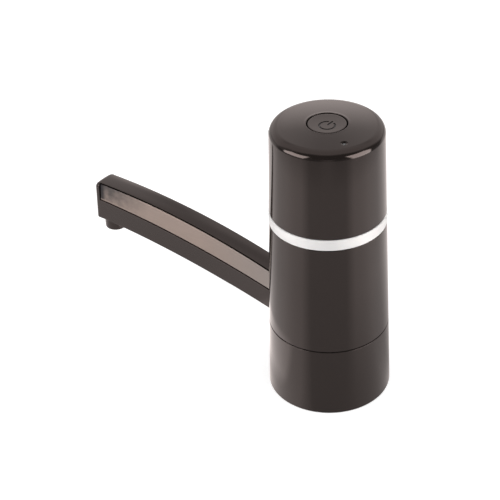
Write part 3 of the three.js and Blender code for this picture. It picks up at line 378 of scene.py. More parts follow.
def upper_shell():
    flat = column(SHOULDER) - TOP_FILLET
    bottom = RING_TOP + RING_GAP

    def loop(z, radius):
        reach = pad_face(z)
        reach = -soft_max(-reach, -(pad_face(PAD_TOP) - PAD_SLOPE * (z - PAD_TOP)), 0.5)
        return pad_outline(radius, reach if z < PAD_END else 0, PAD_HALF, z)

    loops = [column_loop(bottom + a, i) for a, i in quarter(0.3)]
    z = PAD_TOP - 0.6
    while z < SHOULDER:
        loops.append(loop(z, column(z)))
        z += 0.3
    for k in range(25):
        angle = math.pi / 2 * k / 24
        z = SHOULDER + TOP_FILLET * math.sin(angle)
        loops.append(loop(z, flat + TOP_FILLET * math.cos(angle)))
    for k in range(1, 12):
        r = flat + (BUTTON_HOLE + HOLE_EDGE + 0.1 - flat) * k / 11
        loops.append(circle_loop(r, crown(r)))
    brim = crown(BUTTON_HOLE)
    loops += [circle_loop(BUTTON_HOLE + i, brim - a) for a, i in quarter(HOLE_EDGE, 8)]
    loops += [circle_loop(BUTTON_HOLE, GUIDE_BOTTOM)]
    loops += [circle_loop(BUTTON_HOLE + GUIDE_WALL, GUIDE_BOTTOM)]
    loops += [circle_loop(BUTTON_HOLE + GUIDE_WALL, TOP_UNDER)]
    loops += [circle_loop(inner(TOP_UNDER), TOP_UNDER), circle_loop(inner(bottom), bottom)]
    return skin("upper_shell", loops, wrap=True)


def crown(r):
    """Height of the crowned top at a radius."""
    return HEIGHT - TOP_CROWN * (r / (column(SHOULDER) - TOP_FILLET)) ** 2


def bar(name, outline, low, high, axis):
    """A straight bar with an outline, along Y from low to high, or along Z."""
    def at(a, b, c):
        return (a, c, b) if axis == "Y" else (a, b, c)
    return skin(name, [[at(a, b, c) for a, b in outline] for c in (low, high)])


def slot_outline(width, height, radius, centre=(0, 0), steps=8):
    x, z = width / 2, height / 2
    return [(centre[0] + a, centre[1] + b) for a, b in
            rounded([(x, z, radius), (-x, z, radius), (-x, -z, radius), (x, -z, radius)], steps)]


# Finishes

class Signal:
    """A shader socket that takes part in sums."""

    def __init__(self, sheet, socket):
        self.sheet = sheet
        self.socket = socket

    def mixed(self, other, operation, swapped=False):
        pair = [other, self] if swapped else [self, other]
        kinds = [p.socket.type if isinstance(p, Signal) else
                 ("VALUE" if isinstance(p, (int, float)) else "VECTOR") for p in pair]
        if "RGBA" in kinds:
            pair = [(p, p, p, 1) if isinstance(p, (int, float)) else p for p in pair]
            return self.sheet.node(
                "ShaderNodeMix", {"data_type": "RGBA", "blend_type": operation},
                {0: 1.0, 6: pair[0], 7: pair[1]}, out=2)
        kind = "ShaderNodeVectorMath" if "VECTOR" in kinds else "ShaderNodeMath"
        if kind == "ShaderNodeVectorMath":
            pair = [(p, p, p) if isinstance(p, (int, float)) else p for p in pair]
        return self.sheet.node(kind, {"operation": operation}, {0: pair[0], 1: pair[1]})

    def __add__(self, other):
        return self.mixed(other, "ADD")

    def __radd__(self, other):
        return self.mixed(other, "ADD", True)

    def __sub__(self, other):
        return self.mixed(other, "SUBTRACT")

    def __rsub__(self, other):
        return self.mixed(other, "SUBTRACT", True)

    def __mul__(self, other):
        return self.mixed(other, "MULTIPLY")

    def __rmul__(self, other):
        return self.mixed(other, "MULTIPLY", True)

    def __truediv__(self, other):
        return self.mixed(other, "DIVIDE")

    def __pow__(self, other):
        return self.mixed(other, "POWER")


class Sheet:
    """The nodes of one material or of the world."""

    def __init__(self, owner):
        owner.use_nodes = True
        self.tree = owner.node_tree
        self.tree.nodes.clear()

    def node(self, kind, settings=None, inputs=None, out=0):
        made = self.tree.nodes.new(kind)
        for key, value in (settings or {}).items():
            if key == "stops":
                ramp = made.color_ramp
                for i, (place, colour) in enumerate(value):
                    stop = ramp.elements[i] if i < 2 else ramp.elements.new(place)
                    stop.position = place
                    stop.color = (*colour, 1)
            else:
                setattr(made, key, value)
        for key, value in (inputs or {}).items():
            socket = made.inputs[key]
            if isinstance(value, Signal):
                self.tree.links.new(value.socket, socket)
            elif isinstance(value, tuple) and socket.type == "RGBA" and len(value) == 3:
                socket.default_value = (*value, 1)
            else:
                socket.default_value = value
        return Signal(self, made.outputs[out]) if made.outputs else made

    def place(self, scale=(1, 1, 1), out="Object"):
        """The point on the piece in millimetres, stretched along each axis."""
        where = self.node("ShaderNodeTexCoord", out=out)
        return where * tuple(s / MM for s in scale)

    def maths(self, operation, *values):
        return self.node("ShaderNodeMath", {"operation": operation}, dict(enumerate(values)))

    def along(self, vector, heading):
        return self.node("ShaderNodeVectorMath", {"operation": "DOT_PRODUCT"},
                         {0: vector, 1: (*heading, 0.0)}, out="Value")

    def bearing(self, vector):
        """Degrees from straight ahead of the column, and 0 on its left or 1 on its right."""
        aside, ahead = self.along(vector, RIGHTWARD), self.along(vector, AHEAD)
        turn = self.maths("ARCTAN2", aside, ahead) * math.degrees(1)
        return self.maths("ABSOLUTE", turn), self.between(turn, -1, 1)

    def parts(self, vector):
        split = self.node("ShaderNodeSeparateXYZ", inputs={0: vector})
        return [Signal(self, split.socket.node.outputs[i]) for i in range(3)]

    def grain(self, vector, size, detail=2.0, rough=0.5, warp=0.0):
        """Soft noise whose blotches are about a size in millimetres."""
        return self.node("ShaderNodeTexNoise", {"noise_dimensions": "3D"},
                         {"Vector": vector, "Scale": 1.0 / size, "Detail": detail,
                          "Roughness": rough, "Distortion": warp})

    def specks(self, vector, size, low, high):
        """Small spots: 1 in each spot and 0 between."""
        far = self.node("ShaderNodeTexVoronoi", {"feature": "F1"},
                        {"Vector": vector, "Scale": 1.0 / size})
        return self.between(far, high, low)

    def between(self, value, low, high, to_low=0.0, to_high=1.0):
        """Takes a value from one range to another, and stops at its ends."""
        return self.node("ShaderNodeMapRange", {"clamp": True},
                         {0: value, 1: low, 2: high, 3: to_low, 4: to_high})

    def blend(self, share, first, second):
        return self.node("ShaderNodeMix", {"data_type": "RGBA"},
                         {0: share, 6: first, 7: second}, out=2)

    def relief(self, height, depth):
        """A bump whose full height is a depth in millimetres."""
        return self.node("ShaderNodeBump",
                         inputs={"Strength": 1.0, "Distance": depth * MM, "Height": height})

    def coat(self, **sockets):
        """The one shader of a finish. An underscore in a name stands for a space."""
        given = {key.replace("_", " "): value for key, value in sockets.items()}
        shader = self.node("ShaderNodeBsdfPrincipled", inputs=given)
        self.node("ShaderNodeOutputMaterial", inputs={"Surface": shader})


def finish(name):
    made = bpy.data.materials.new(name)
    return made, Sheet(made)


def gloss_black():
    made, s = finish("gloss_black_shell")
    at = s.place()
    wear = s.grain(at, 22, 3, 0.55)
    swirl = s.grain(at, 0.35, 2, 0.6)
    peel = s.grain(at, 1.7, 2, 0.5)
    s.coat(Base_Color=s.blend(wear, (0.0115, 0.0088, 0.0080), (0.0150, 0.0112, 0.0100)),
           Roughness=0.05 + s.between(wear, 0.35, 0.7) * 0.03 + swirl * 0.02,
           IOR=1.46, Specular_Tint=(1.0, 0.89, 0.86, 1.0),
           Normal=s.relief(peel * 0.8 + swirl * 0.2, 0.003))
    return made


def silver():
    made, s = finish("silver_ring_metal")
    x, y, z = s.parts(s.place())
    turn = s.maths("ARCTAN2", y, x)
    round_it = s.node("ShaderNodeCombineXYZ", inputs={0: turn * 2.5, 1: z * 9.0, 2: 0.0})
    lines = s.grain(round_it, 1.0, 4, 0.6)
    wear = s.grain(s.place(), 9, 2, 0.5)
    s.coat(Base_Color=s.blend(lines, (0.85, 0.87, 0.87), (0.93, 0.95, 0.95)), Metallic=0.4,
           Roughness=0.60 + lines * 0.08 + wear * 0.05, Normal=s.relief(lines, 0.004))
    return made


def satin():
    made, s = finish("satin_strip_metal")
    lines = s.grain(s.place((0.06, 4.0, 4.0)), 1.0, 4, 0.65)
    at = s.place()
    wear = s.grain(at, 14, 2, 0.5)
    x, _, z = s.parts(at)
    from_peak = x + UNDER_PEAK_AT
    sag = from_peak * from_peak * (1 / (2 * UNDER_ARC))
    above = z + sag - (UNDER_PEAK + BAND + STRIP_GAP)
    cloud = s.between(s.grain(at, 4, 2, 0.5), 0.35, 0.65, -0.25, 0.25)
    foot = s.between(above, 1.5, 0.5)
    tip = s.between(x, -130, -164) * (1 - foot)
    # Painted shade: darker towards the strip's top under the lip and towards the tip, broken up by
    # random blotches.
    tip_shade_and_smudge = s.between(tip * (s.between(above, 1, 10, 0.3, 1.15) + cloud), 0, 1)
    brushed = s.blend(lines, (0.215, 0.185, 0.167), (0.296, 0.256, 0.230))
    # A greyer tone towards the root, and a painted highlight along the strip's lower edge (its
    # foot).
    brushed_and_foot_highlight = s.blend(s.between(x, -90, -40), brushed, (0.205, 0.192, 0.182)) * (1 + foot * 0.12)
    # Painted shade: the strip's end beside the tip frame goes near black.
    end = s.between(x, -165.8, -167.6) * (1 - foot) * 0.9
    # The painted shade and blotches darken the strip's colour.
    shaded_and_smudged = s.blend(tip_shade_and_smudge, brushed_and_foot_highlight, (0.09, 0.085, 0.083))
    s.coat(Base_Color=s.blend(end, shaded_and_smudged, (0.030, 0.032, 0.036)), Metallic=1.0,
           Roughness=0.28 + lines * 0.12 + wear * 0.06, Normal=s.relief(lines, 0.004))
    return made


def silicone():
    made, s = finish("grey_silicone")
    at = s.place()
    dust = s.grain(at, 0.5, 4, 0.7)
    wear = s.grain(at, 8, 2, 0.5)
    s.coat(Base_Color=s.blend(wear, (0.55, 0.57, 0.58), (0.64, 0.66, 0.67)),
           Roughness=0.5 + dust * 0.2, Subsurface_Weight=0.15,
           Subsurface_Radius=(0.002, 0.002, 0.002), Normal=s.relief(dust, 0.02))
    return made


def clear_plastic():
    made, s = finish("clear_plastic")
    at = s.place()
    flow = s.grain(at, 3.5, 2, 0.5, 0.6)
    s.coat(Base_Color=s.blend(flow, (0.86, 0.90, 0.92), (0.95, 0.97, 0.98)),
           Roughness=0.06 + flow * 0.08, IOR=1.49, Transmission_Weight=0.85,
           Normal=s.relief(flow, 0.02))
    return made


def inner_plastic():
    made, s = finish("moulded_inner_plastic")
    at = s.place()
    fine = s.grain(at, 0.28, 3, 0.6)
    flow = s.grain(at, 12, 3, 0.55, 0.4)
    s.coat(Base_Color=s.blend(flow, (0.43, 0.42, 0.39), (0.52, 0.51, 0.48)),
           Roughness=0.42 + fine * 0.18, Normal=s.relief(fine, 0.015))
    return made


def steel():
    made, s = finish("turned_steel")
    at = s.place()
    lines = s.grain(s.place((1.0, 1.0, 9.0)), 1.0, 4, 0.65)
    stain = s.grain(at, 5, 3, 0.6)
    s.coat(Base_Color=s.blend(stain, (0.52, 0.53, 0.54), (0.66, 0.66, 0.66)), Metallic=1.0,
           Roughness=0.22 + lines * 0.18 + stain * 0.08, Normal=s.relief(lines, 0.006))
    return made


def brass():
    made, s = finish("brass_and_copper")
    at = s.place()
    lines = s.grain(s.place((6.0, 1.0, 1.0)), 1.0, 4, 0.65)
    tarnish = s.grain(at, 3.5, 4, 0.6)
    dull = s.between(tarnish, 0.35, 0.75)
    s.coat(Base_Color=s.blend(dull, (0.72, 0.48, 0.20), (0.42, 0.25, 0.11)),
           Metallic=1.0, Roughness=0.25 + tarnish * 0.25, Normal=s.relief(lines, 0.006))
    return made


def board():
    made, s = finish("green_circuit_board")
    at = s.place()
    x, y, _ = s.parts(at)
    weave = s.maths("SINE", x * 5.2) * s.maths("SINE", y * 5.2)
    flow = s.grain(at, 6, 2, 0.5)
    copper = s.between(s.specks(at, 2.6, 0.16, 0.2), 0.3, 0.7)
    mask = s.blend(flow, (0.010, 0.085, 0.032), (0.018, 0.12, 0.05))
    s.coat(Base_Color=s.blend(copper, mask, (0.55, 0.42, 0.2)),
           Roughness=0.32 + copper * -0.1 + weave * 0.03, Metallic=copper,
           Normal=s.relief(weave * 0.3 + copper, 0.02))
    return made


def black_part():
    made, s = finish("matt_black_plastic")
    at = s.place()
    fine = s.grain(at, 0.22, 3, 0.65)
    wear = s.grain(at, 5, 2, 0.5)
    s.coat(Base_Color=s.blend(wear, (0.010, 0.010, 0.011), (0.022, 0.022, 0.023)),
           Roughness=0.45 + fine * 0.2, Normal=s.relief(fine, 0.02))
    return made


def magnet():
    made, s = finish("sintered_magnet")
    at = s.place()
    fine = s.grain(at, 0.18, 4, 0.7)
    pores = s.specks(at, 0.6, 0.1, 0.25)
    grey = s.blend(fine, (0.032, 0.032, 0.034), (0.07, 0.07, 0.074))
    s.coat(Base_Color=s.blend(pores, grey, (0.012, 0.012, 0.012)),
           Roughness=0.55 + fine * 0.25, Metallic=0.35, Normal=s.relief(fine - pores, 0.04))
    return made


def cell_wrap():
    made, s = finish("blue_cell_wrap")
    at = s.place()
    crease = s.grain(s.place((0.5, 0.5, 2.2)), 3.0, 2, 0.5, 0.5)
    fine = s.grain(at, 0.4, 3, 0.6)
    s.coat(Base_Color=s.blend(crease, (0.022, 0.13, 0.34), (0.035, 0.17, 0.42)),
           Roughness=0.28 + fine * 0.14, Normal=s.relief(crease, 0.05))
    return made


def wire(name, dark, light):
    made, s = finish(name)
    at = s.place()
    fine = s.grain(at, 0.5, 3, 0.6)
    flow = s.grain(at, 4, 2, 0.5)
    s.coat(Base_Color=s.blend(flow, dark, light), Roughness=0.38 + fine * 0.15,
           Normal=s.relief(fine, 0.02))
    return made


FINISHES = {
    "black_shell": gloss_black(), "silver_ring": silver(), "satin_strip": satin(),
    "silicone": silicone(), "clear_plastic": clear_plastic(), "inner_plastic": inner_plastic(),
    "steel": steel(), "brass": brass(), "board": board(), "black_part": black_part(),
    "magnet": magnet(), "cell_wrap": cell_wrap(),
    "red_wire": wire("red_wire_sleeve", (0.30, 0.010, 0.010), (0.42, 0.020, 0.016)),
    "black_wire": wire("black_wire_sleeve", (0.012, 0.012, 0.013), (0.026, 0.026, 0.028)),
}


def stands_for(made, slot, *nodes, body="column"):
    """Gives a finished piece its material and body, and shows it in place of CAD nodes."""
    made.data.materials.clear()
    made.data.materials.append(FINISHES[slot])
    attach(made, body)
    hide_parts(*nodes)
    return made


stands_for(even_normals(collar()), "black_shell", "base_collar")
stands_for(even_normals(lower_shell()), "black_shell", "lower_housing")
stands_for(even_normals(ring_shell()), "silver_ring", "trim_ring")


# Top of the column

LIGHT_AT = (19.3, -12.1)


def top_shell():
    made = upper_shell()
    dimple = [(0, 171.6), (1.7, 171.6), (1.92, 171.7), (2.0, 172.0), (2.05, 173), (0, 173)]
    combine(made, turned("dimple_cutter", dimple, 48, LIGHT_AT), "DIFFERENCE")
    shaft = [(0, 168), (1.2, 168), (1.2, 172), (0, 172)]
    combine(made, turned("pipe_cutter", shaft, 32, LIGHT_AT), "DIFFERENCE")
    socket = bar("socket_cutter", slot_outline(9.6, 3.8, 1.8, (0, 153.5)), 24, 40, "Y")
    combine(made, socket, "DIFFERENCE")
    return made


stands_for(even_normals(top_shell()), "black_shell", "upper_housing")


def power_symbol():
    """Cutters for the engraved ring and bar, with rounded ends."""
    half = STROKE / 2
    gap = math.radians(SYMBOL_GAP)
    shift = Vector(AHEAD) * SYMBOL_SHIFT
    outline = []
    for side, steps in ((1, 72), (-1, 72)):
        for k in range(steps + 1):
            share = k / steps if side > 0 else 1 - k / steps
            angle = math.pi / 2 + gap + (2 * math.pi - 2 * gap) * share
            rim = SYMBOL + side * half
            outline.append((rim * math.cos(angle), rim * math.sin(angle)))
        end = math.pi / 2 + gap + (2 * math.pi - 2 * gap) * (1 if side > 0 else 0)
        middle = Vector((SYMBOL * math.cos(end), SYMBOL * math.sin(end)))
        out = Vector((math.cos(end), math.sin(end))) * half * side
        for k in range(1, 8):
            outline.append(tuple(middle + Matrix.Rotation(math.pi * k / 8, 2) @ out))
    outline = [tuple(Vector(p) + shift) for p in outline]
    arc = bar("symbol_ring", outline, ENGRAVED, HEIGHT + 1, "Z")
    middle = (shift.x, shift.y + SYMBOL_BAR_AT)
    slot = slot_outline(STROKE, SYMBOL_BAR, STROKE * 0.499, middle)
    return arc, bar("symbol_bar", slot, ENGRAVED, HEIGHT + 1, "Z")


def button():
    under = HEIGHT - 2.6
    profile = rounded([
        (0, under), (9.65, under, 0.3), (9.65, 162.2), (12.85, 162.2, 0.2), (12.85, 163.4, 0.2),
        (BUTTON, 163.4), (BUTTON, BUTTON_TOP, 0.35), (BUTTON_FACE, BUTTON_TOP),
    ], 7)
    for r in (9.4, 8.2, 7, 5.8, 4.6, 3.4, 2.2, 1.1, 0):
        profile.append((r, BUTTON_TOP - BUTTON_DISH * (1 - (r / BUTTON_FACE) ** 2)))
    made = turned("button_cap", profile, 160)
    stem = [(0, 157.2), (1.9, 157.2), (2.2, 157.5), (2.2, under + 0.3), (0, under + 0.3)]
    combine(made, turned("button_stem", stem, 32), "UNION")
    for tool in power_symbol():
        combine(made, tool, "DIFFERENCE")
    return made


def darken_symbol(made):
    """Gives the floor of the engraving its matt finish."""
    made.data.materials.append(FINISHES["black_part"])
    for face in made.data.polygons:
        if abs(face.center.z / MM - ENGRAVED) < 0.02 and face.normal.z > 0.9:
            face.material_index = 1


darken_symbol(stands_for(even_normals(button()), "black_shell", "power_button", body="button"))


def light_lens():
    foot = span("light_pipe")[0]
    profile = [(0, foot), (0.9, foot), (0.9, 171.5), (0.75, 171.62), (0.4, 171.69), (0, 171.7)]
    return turned("light_lens", profile, 32, LIGHT_AT)


stands_for(light_lens(), "clear_plastic", "light_pipe")


# Spout

def root_reach(y, z):
    """How far out the spout begins: on the pad, or on the round collar below the seam."""
    if z >= LOWER_BOTTOM:
        return pad_face(z) + SPOUT_FIT
    return math.sqrt((column(z) + SPOUT_FIT) ** 2 - y ** 2)


def tip_reach(z):
    low, high = spout_under(SPOUT_UNDER_REACH), spout_top(SPOUT_TOP_REACH)
    return SPOUT_UNDER_REACH - (SPOUT_UNDER_REACH - SPOUT_TOP_REACH) * (z - low) / (high - low)


def tube_axis(at):
    """Height of the water tube: level at the column, then at a set rise over the under edge."""
    share = min(1, max(0, (at - SPOUT_ROOT) / TUBE_BLEND))
    eased = share * share * (3 - 2 * share)
    entry = TUBE_ENTRY + (spout_under(at) - spout_under(SPOUT_ROOT)) * eased
    return (1 - eased) * entry + eased * (spout_under(at) + TUBE_RISE)


def spout_point(along, y, z):
    """A point of the spout: along is 0 at the pad and 1 at the tip's slanting end."""
    return (-(root_reach(y, z) * (1 - along) + tip_reach(z) * along), y, z)


def rim_inset(distance, radius):
    """How much a rounded rim draws in at a distance from its end."""
    if distance >= radius:
        return 0.0
    return radius - math.sqrt(radius ** 2 - (radius - distance) ** 2)


def spout_crest(half, high, y):
    """Height of the spout's top at a distance from its middle: a low crown with rounded edges."""
    return high - y * y / (2 * SPOUT_CROWN) - rim_inset(half - y, SPOUT_TOP_EDGE)


def crest_points(half, high, first, last, count):
    """Points on the rounded top edge, between two insets from the side."""
    turns = [math.acos(1 - inset / SPOUT_TOP_EDGE) for inset in (first, last)]
    step = (turns[1] - turns[0]) / (count - 1)
    places = [half - SPOUT_TOP_EDGE * (1 - math.cos(turns[0] + step * k)) for k in range(count)]
    return [(y, spout_crest(half, high, y)) for y in places]


def half_section(along, recess, channel, distance, corner):
    """Half of the cross-section. Where there is no recess, its points lie on the flat side."""
    reach = SPOUT_ROOT + SPOUT_LENGTH * along
    top_at = SPOUT_ROOT + SPOUT_TOP_LENGTH * along
    half = SPOUT_HALF - rim_inset(distance, corner)
    drop = TIP_DROP * max(0, reach - TIP_DROP_FROM)
    low = spout_under(reach) - drop + rim_inset(distance, 0.2)
    high = spout_top(top_at) - rim_inset(distance, SPOUT_NOSE)
    ledge = spout_under(reach) + BAND
    roof = tube_axis(reach) + CHANNEL if channel else low + 0.9
    wall = CHANNEL if channel else 1.2
    foot = (wall, low, 0.2) if channel else (wall, low + 0.3, 0.05)
    floor = rounded([
        (0, roof), (wall, roof, 0.25), foot,
        (half, low, SPOUT_EDGE), (half, (low + high) / 2), (0, (low + high) / 2),
    ], 6)
    if not channel:
        floor = [(wall * k / 14, low) for k in range(15)] + floor[15:]
    base = floor[:-2]
    if recess:
        lip = half - LIP_INSET
        edge = spout_crest(half, high, lip)
        side = rounded([
            (0, ledge - 5), (half, ledge - 5), (half, ledge, 0.2), (RECESS_FLOOR, ledge, 0.15),
            (RECESS_FLOOR, edge - LIP, 0.15), (lip, edge - LIP, 0.1), (lip, edge + 1),
        ], 6)[2:-1]
    else:
        rise = high - SPOUT_TOP_EDGE - 0.3
        side = [(half, ledge - 0.3 + (rise - ledge + 0.3) * k / 19) for k in range(20)]
        side += crest_points(half, high, 0, LIP_INSET, 9)[:-1]
    top = crest_points(half, high, LIP_INSET, SPOUT_TOP_EDGE, 6)
    flat = half - SPOUT_TOP_EDGE
    top += [(flat * k / 5, spout_crest(half, high, flat * k / 5)) for k in (4, 3, 2, 1, 0)]
    return base + side + top


def spout_section(along, recess, channel, distance):
    """The whole cross-section: the tip's far corner is rounder than its near one."""
    far = half_section(along, recess, channel, distance, SPOUT_FAR_CORNER)
    near = half_section(along, recess, channel, distance, SPOUT_TIP_CORNER)
    return far + [(-y, z) for y, z in near[-2:0:-1]]


STEP = 0.0001  # along the spout, between the two sides of a sharp change
TIP_STATIONS = (3.8, 3.4, 3.0, 2.6, 2.2, 1.8, 1.45, 1.12, 0.88, 0.66, 0.48, 0.33, 0.2, 0.1, 0.02)


def spout_loops():
    recess_end = 1 - RECESS_FRAME / SPOUT_LENGTH
    channel_end = 1 - (SPOUT_UNDER_REACH - NOZZLE_PLACE) / SPOUT_LENGTH
    places = [k / 48 * 0.97 for k in range(49)]
    places = [p for p in places if abs(p - channel_end) > 0.004 and p < recess_end - 0.004]
    stations = [(p, True, p < channel_end) for p in places]
    stations += [(channel_end - STEP, True, True), (channel_end + STEP, True, False)]
    stations += [(recess_end - STEP, True, False), (recess_end + STEP, False, False)]
    stations += [(1 - d / SPOUT_LENGTH, False, False) for d in TIP_STATIONS]
    stations.sort()
    loops = []
    for along, recess, channel in stations:
        section = spout_section(along, recess, channel, (1 - along) * SPOUT_LENGTH)
        loops.append([spout_point(along, y, z) for y, z in section])
    return loops


def spout():
    return skin("spout_shell", spout_loops())


def strip(side):
    """An angled metal strip: its face fills the recess's mouth and its foot lies over the ledge."""
    start, end = 0.0025, 1 - (RECESS_FRAME + STRIP_END_GAP) / SPOUT_LENGTH
    loops = []
    for k in range(61):
        along = start + (end - start) * k / 60
        low = spout_under(SPOUT_ROOT + SPOUT_LENGTH * along) + BAND + STRIP_GAP
        crest = spout_top(SPOUT_ROOT + SPOUT_TOP_LENGTH * along)
        high = spout_crest(SPOUT_HALF, crest, SPOUT_HALF - LIP_INSET) - LIP - STRIP_TOP_GAP
        section = rounded([
            (STRIP_BACK, low, 0.1), (STRIP_FOOT_FACE, low, 0.4), (STRIP_TOP_FACE, high, 0.2),
            (STRIP_TOP_FACE - STRIP_WALL, high, 0.1),
            (STRIP_FOOT_FACE - STRIP_WALL, low + STRIP_WALL, 0.3),
            (STRIP_BACK, low + STRIP_WALL, 0.1),
        ], 5)
        loops.append([spout_point(along, y * side, z) for y, z in section])
    return skin("strip_near" if side < 0 else "strip_far", loops)


def nozzle():
    foot, top = span("spout_nozzle")
    seat = spout_under(NOZZLE_PLACE) - 0.3
    profile = rounded([
        (4.6, foot, 0.25), (NOZZLE, foot, 1.2), (NOZZLE, seat, 0.15), (4.7, seat), (4.7, top, 0.2),
        (3.3, top, 0.2), (3.3, seat - 1.2), (2.05, seat - 1.2), (2.05, foot + 3.2, 0.2),
        (4.6, foot + 3.2, 0.3),
    ], 7)
    return turned("nozzle_tip", profile, 96, (-NOZZLE_PLACE, 0))


def underside_cover():
    end = (NOZZLE_PLACE - NOZZLE - 0.3 - SPOUT_ROOT) / SPOUT_LENGTH
    loops = []
    for k in range(49):
        along = end * k / 48
        low = spout_under(SPOUT_ROOT + SPOUT_LENGTH * along) + 0.15
        high = low + 1.65
        section = rounded([(-2.8, low, 0.25), (2.8, low, 0.25), (2.8, high, 0.2),
                           (-2.8, high, 0.2)], 4)
        loops.append([spout_point(along, y, z) for y, z in section])
    return skin("underside_strip", loops)


stands_for(even_normals(spout()), "black_shell", "spout_body")
stands_for(even_normals(strip(-1)), "satin_strip", "spout_trim_near")
stands_for(even_normals(strip(1)), "satin_strip", "spout_trim_far")
stands_for(even_normals(nozzle()), "black_shell", "spout_nozzle")
stands_for(even_normals(underside_cover()), "black_shell", "spout_underside_cover")


# Seat of the bottle's neck

def sleeve():
    bore = NECK_BORE
    profile = [(bore + 0.4, 0.8), (bore, 1.2)]
    z = 6.0
    while z < 33:
        profile += [(bore, z), (bore + 0.35, z + 0.25), (bore + 0.35, z + 0.75), (bore, z + 1.0)]
        z += 3.0
    profile += [(bore, SLEEVE_TOP - 0.4), (bore + 0.4, SLEEVE_TOP), (bore + 1.8, SLEEVE_TOP),
                (bore + 1.8, 2.8), (33.4 - 0.3, 2.8), (33.4, 2.5), (33.4, 1.1), (33.1, 0.8)]
    made = turned("neck_grip", profile, 144)
    reach = inner(SLEEVE_TOP) - 0.3
    outline = rounded([(28.6, -0.8), (reach, -0.8, 0.3), (reach, 0.8, 0.3), (28.6, 0.8)], 3)
    for k in range(12):
        c, s = math.cos(2 * math.pi * k / 12), math.sin(2 * math.pi * k / 12)
        spun = [(a * c - b * s, a * s + b * c) for a, b in outline]
        combine(made, bar("grip_rib", spun, 2.5, 36.5, "Z"), "UNION")
    return made


def gasket():
    low, high = span("neck_gasket")
    profile = [(18.7, high - 0.3), (18.7, low + 0.3), (19.0, low)]
    for middle in (20.6, 22.5, 24.4):
        profile += [(middle - 0.5, low), (middle - 0.25, low + 0.4),
                    (middle + 0.25, low + 0.4), (middle + 0.5, low)]
    profile += [(26.0, low), (26.3, low + 0.3), (26.3, high - 0.3), (26.0, high), (19.0, high)]
    return turned("neck_seal", profile, 128)


def nipple():
    low, high = span("inlet_nipple")
    pitch = 22 * 0.5 / 3
    profile = [(2.2, high), (2.2, low + 0.3), (2.4, low)]
    for k in range(3):
        z = low + k * pitch
        profile += [(2.7, z), (4.0, z + pitch * 0.64), (4.1, z + pitch * 0.7),
                    (4.0, z + pitch * 0.74)]
    profile += [(2.7, low + 3 * pitch), (3.4, low + 3 * pitch + 0.7), (3.4, 43.8), (5.0, 43.8),
                (5.2, 44.0), (5.2, 45.1), (5.0, 45.3), (2.8, 45.3), (2.8, high - 0.3), (2.6, high)]
    return turned("inlet_stub", profile, 64, INLET_AT)


def nut():
    low, high = span("nipple_nut")
    across = 12.0
    corner = across / 2 / math.cos(math.pi / 6)

    def point(r, angle, z):
        return INLET_AT[0] + r * math.cos(angle), INLET_AT[1] + r * math.sin(angle), z

    def hexagon(inset, z, steps=8):
        loop = []
        for k in range(6 * steps):
            angle = 2 * math.pi * k / (6 * steps)
            local = (angle + math.pi / 6) % (math.pi / 3) - math.pi / 6
            off = local - math.copysign(math.pi / 6, local)
            flat = across / 2 / math.cos(off) if local else corner
            r = min(flat, corner - inset)
            loop.append(point(r, angle, z))
        return loop

    def hole(r, z, steps=48):
        return [point(r, 2 * math.pi * k / steps, z) for k in range(steps)]

    loops = [hexagon(0.75, low), hexagon(0.05, low + 0.5), hexagon(0.05, high - 0.5),
             hexagon(0.75, high), hole(3.95, high), hole(3.7, high - 0.25),
             hole(3.7, low + 0.25), hole(3.95, low)]
    return skin("hex_nut", loops, wrap=True, crease=25)


def socket_shell():
    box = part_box("usb_socket")
    front, back = box[1][1] / MM, box[0][1] / MM
    middle = (box[0][2] + box[1][2]) / 2 / MM
    loops = []
    mouths = ((9.0, 3.2, 1.5, back), (9.0, 3.2, 1.5, front - 0.1), (8.8, 3.0, 1.4, front),
              (8.45, 2.65, 1.2, front), (8.3, 2.5, 1.15, front - 0.12),
              (8.3, 2.5, 1.15, back + 1.05))
    for width, height, radius, y in mouths:
        loops.append([(a, y, b) for a, b in slot_outline(width, height, radius, (0, middle))])
    made = skin("charging_socket", loops)
    tongue = slot_outline(6.0, 0.7, 0.2, (0, middle))
    combine(made, bar("socket_tongue", tongue, back + 0.9, front - 1.4, "Y"), "UNION")
    return made


stands_for(even_normals(sleeve()), "silicone", "neck_sleeve")
stands_for(even_normals(gasket()), "silicone", "neck_gasket")
stands_for(even_normals(nipple()), "inner_plastic", "inlet_nipple")
stands_for(nut(), "inner_plastic", "nipple_nut")
stands_for(socket_shell(), "steel", "usb_socket")


# Pieces inside keep their CAD shapes and take finer finishes

SLOT_OF = {}
for slot_name, nodes in {
    "silicone": ["inlet_hose", "outlet_hose", "shaft_seal"],
    "clear_plastic": ["status_led", "spout_tube"],
    "inner_plastic": ["pump_deck", "pump_body", "pump_cover", "motor_bracket", "drive_gear",
                      "idler_gear", "switch_plunger"],
    "steel": ["motor_shaft", "idler_pin", "motor_can"],
    "brass": ["battery_contact_negative", "battery_contact_positive", "motor_armature"],
    "board": ["control_board"],
    "black_part": ["motor_end_cap", "battery_cradle", "switch_body"],
    "magnet": ["motor_magnet_1", "motor_magnet_2"],
    "cell_wrap": ["battery_cell"],
    "red_wire": ["motor_lead_1", "battery_lead_1"],
    "black_wire": ["motor_lead_2", "battery_lead_2"],
}.items():
    for node in nodes:
        SLOT_OF[node] = slot_name
for node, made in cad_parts.items():
    if "screw" in node:
        SLOT_OF[node] = "steel"
    if node in SLOT_OF:
        if not made.material_slots:
            made.data.materials.append(None)
        for entry in made.material_slots:
            entry.material = FINISHES[SLOT_OF[node]]


# Floor, light and camera

def softbox_share(s, turn, start):
    """Where the two side softboxes stand, by bearing, from their inner edge on."""
    return s.between(turn - start, -5, 0) * s.between(turn, 89, 84)


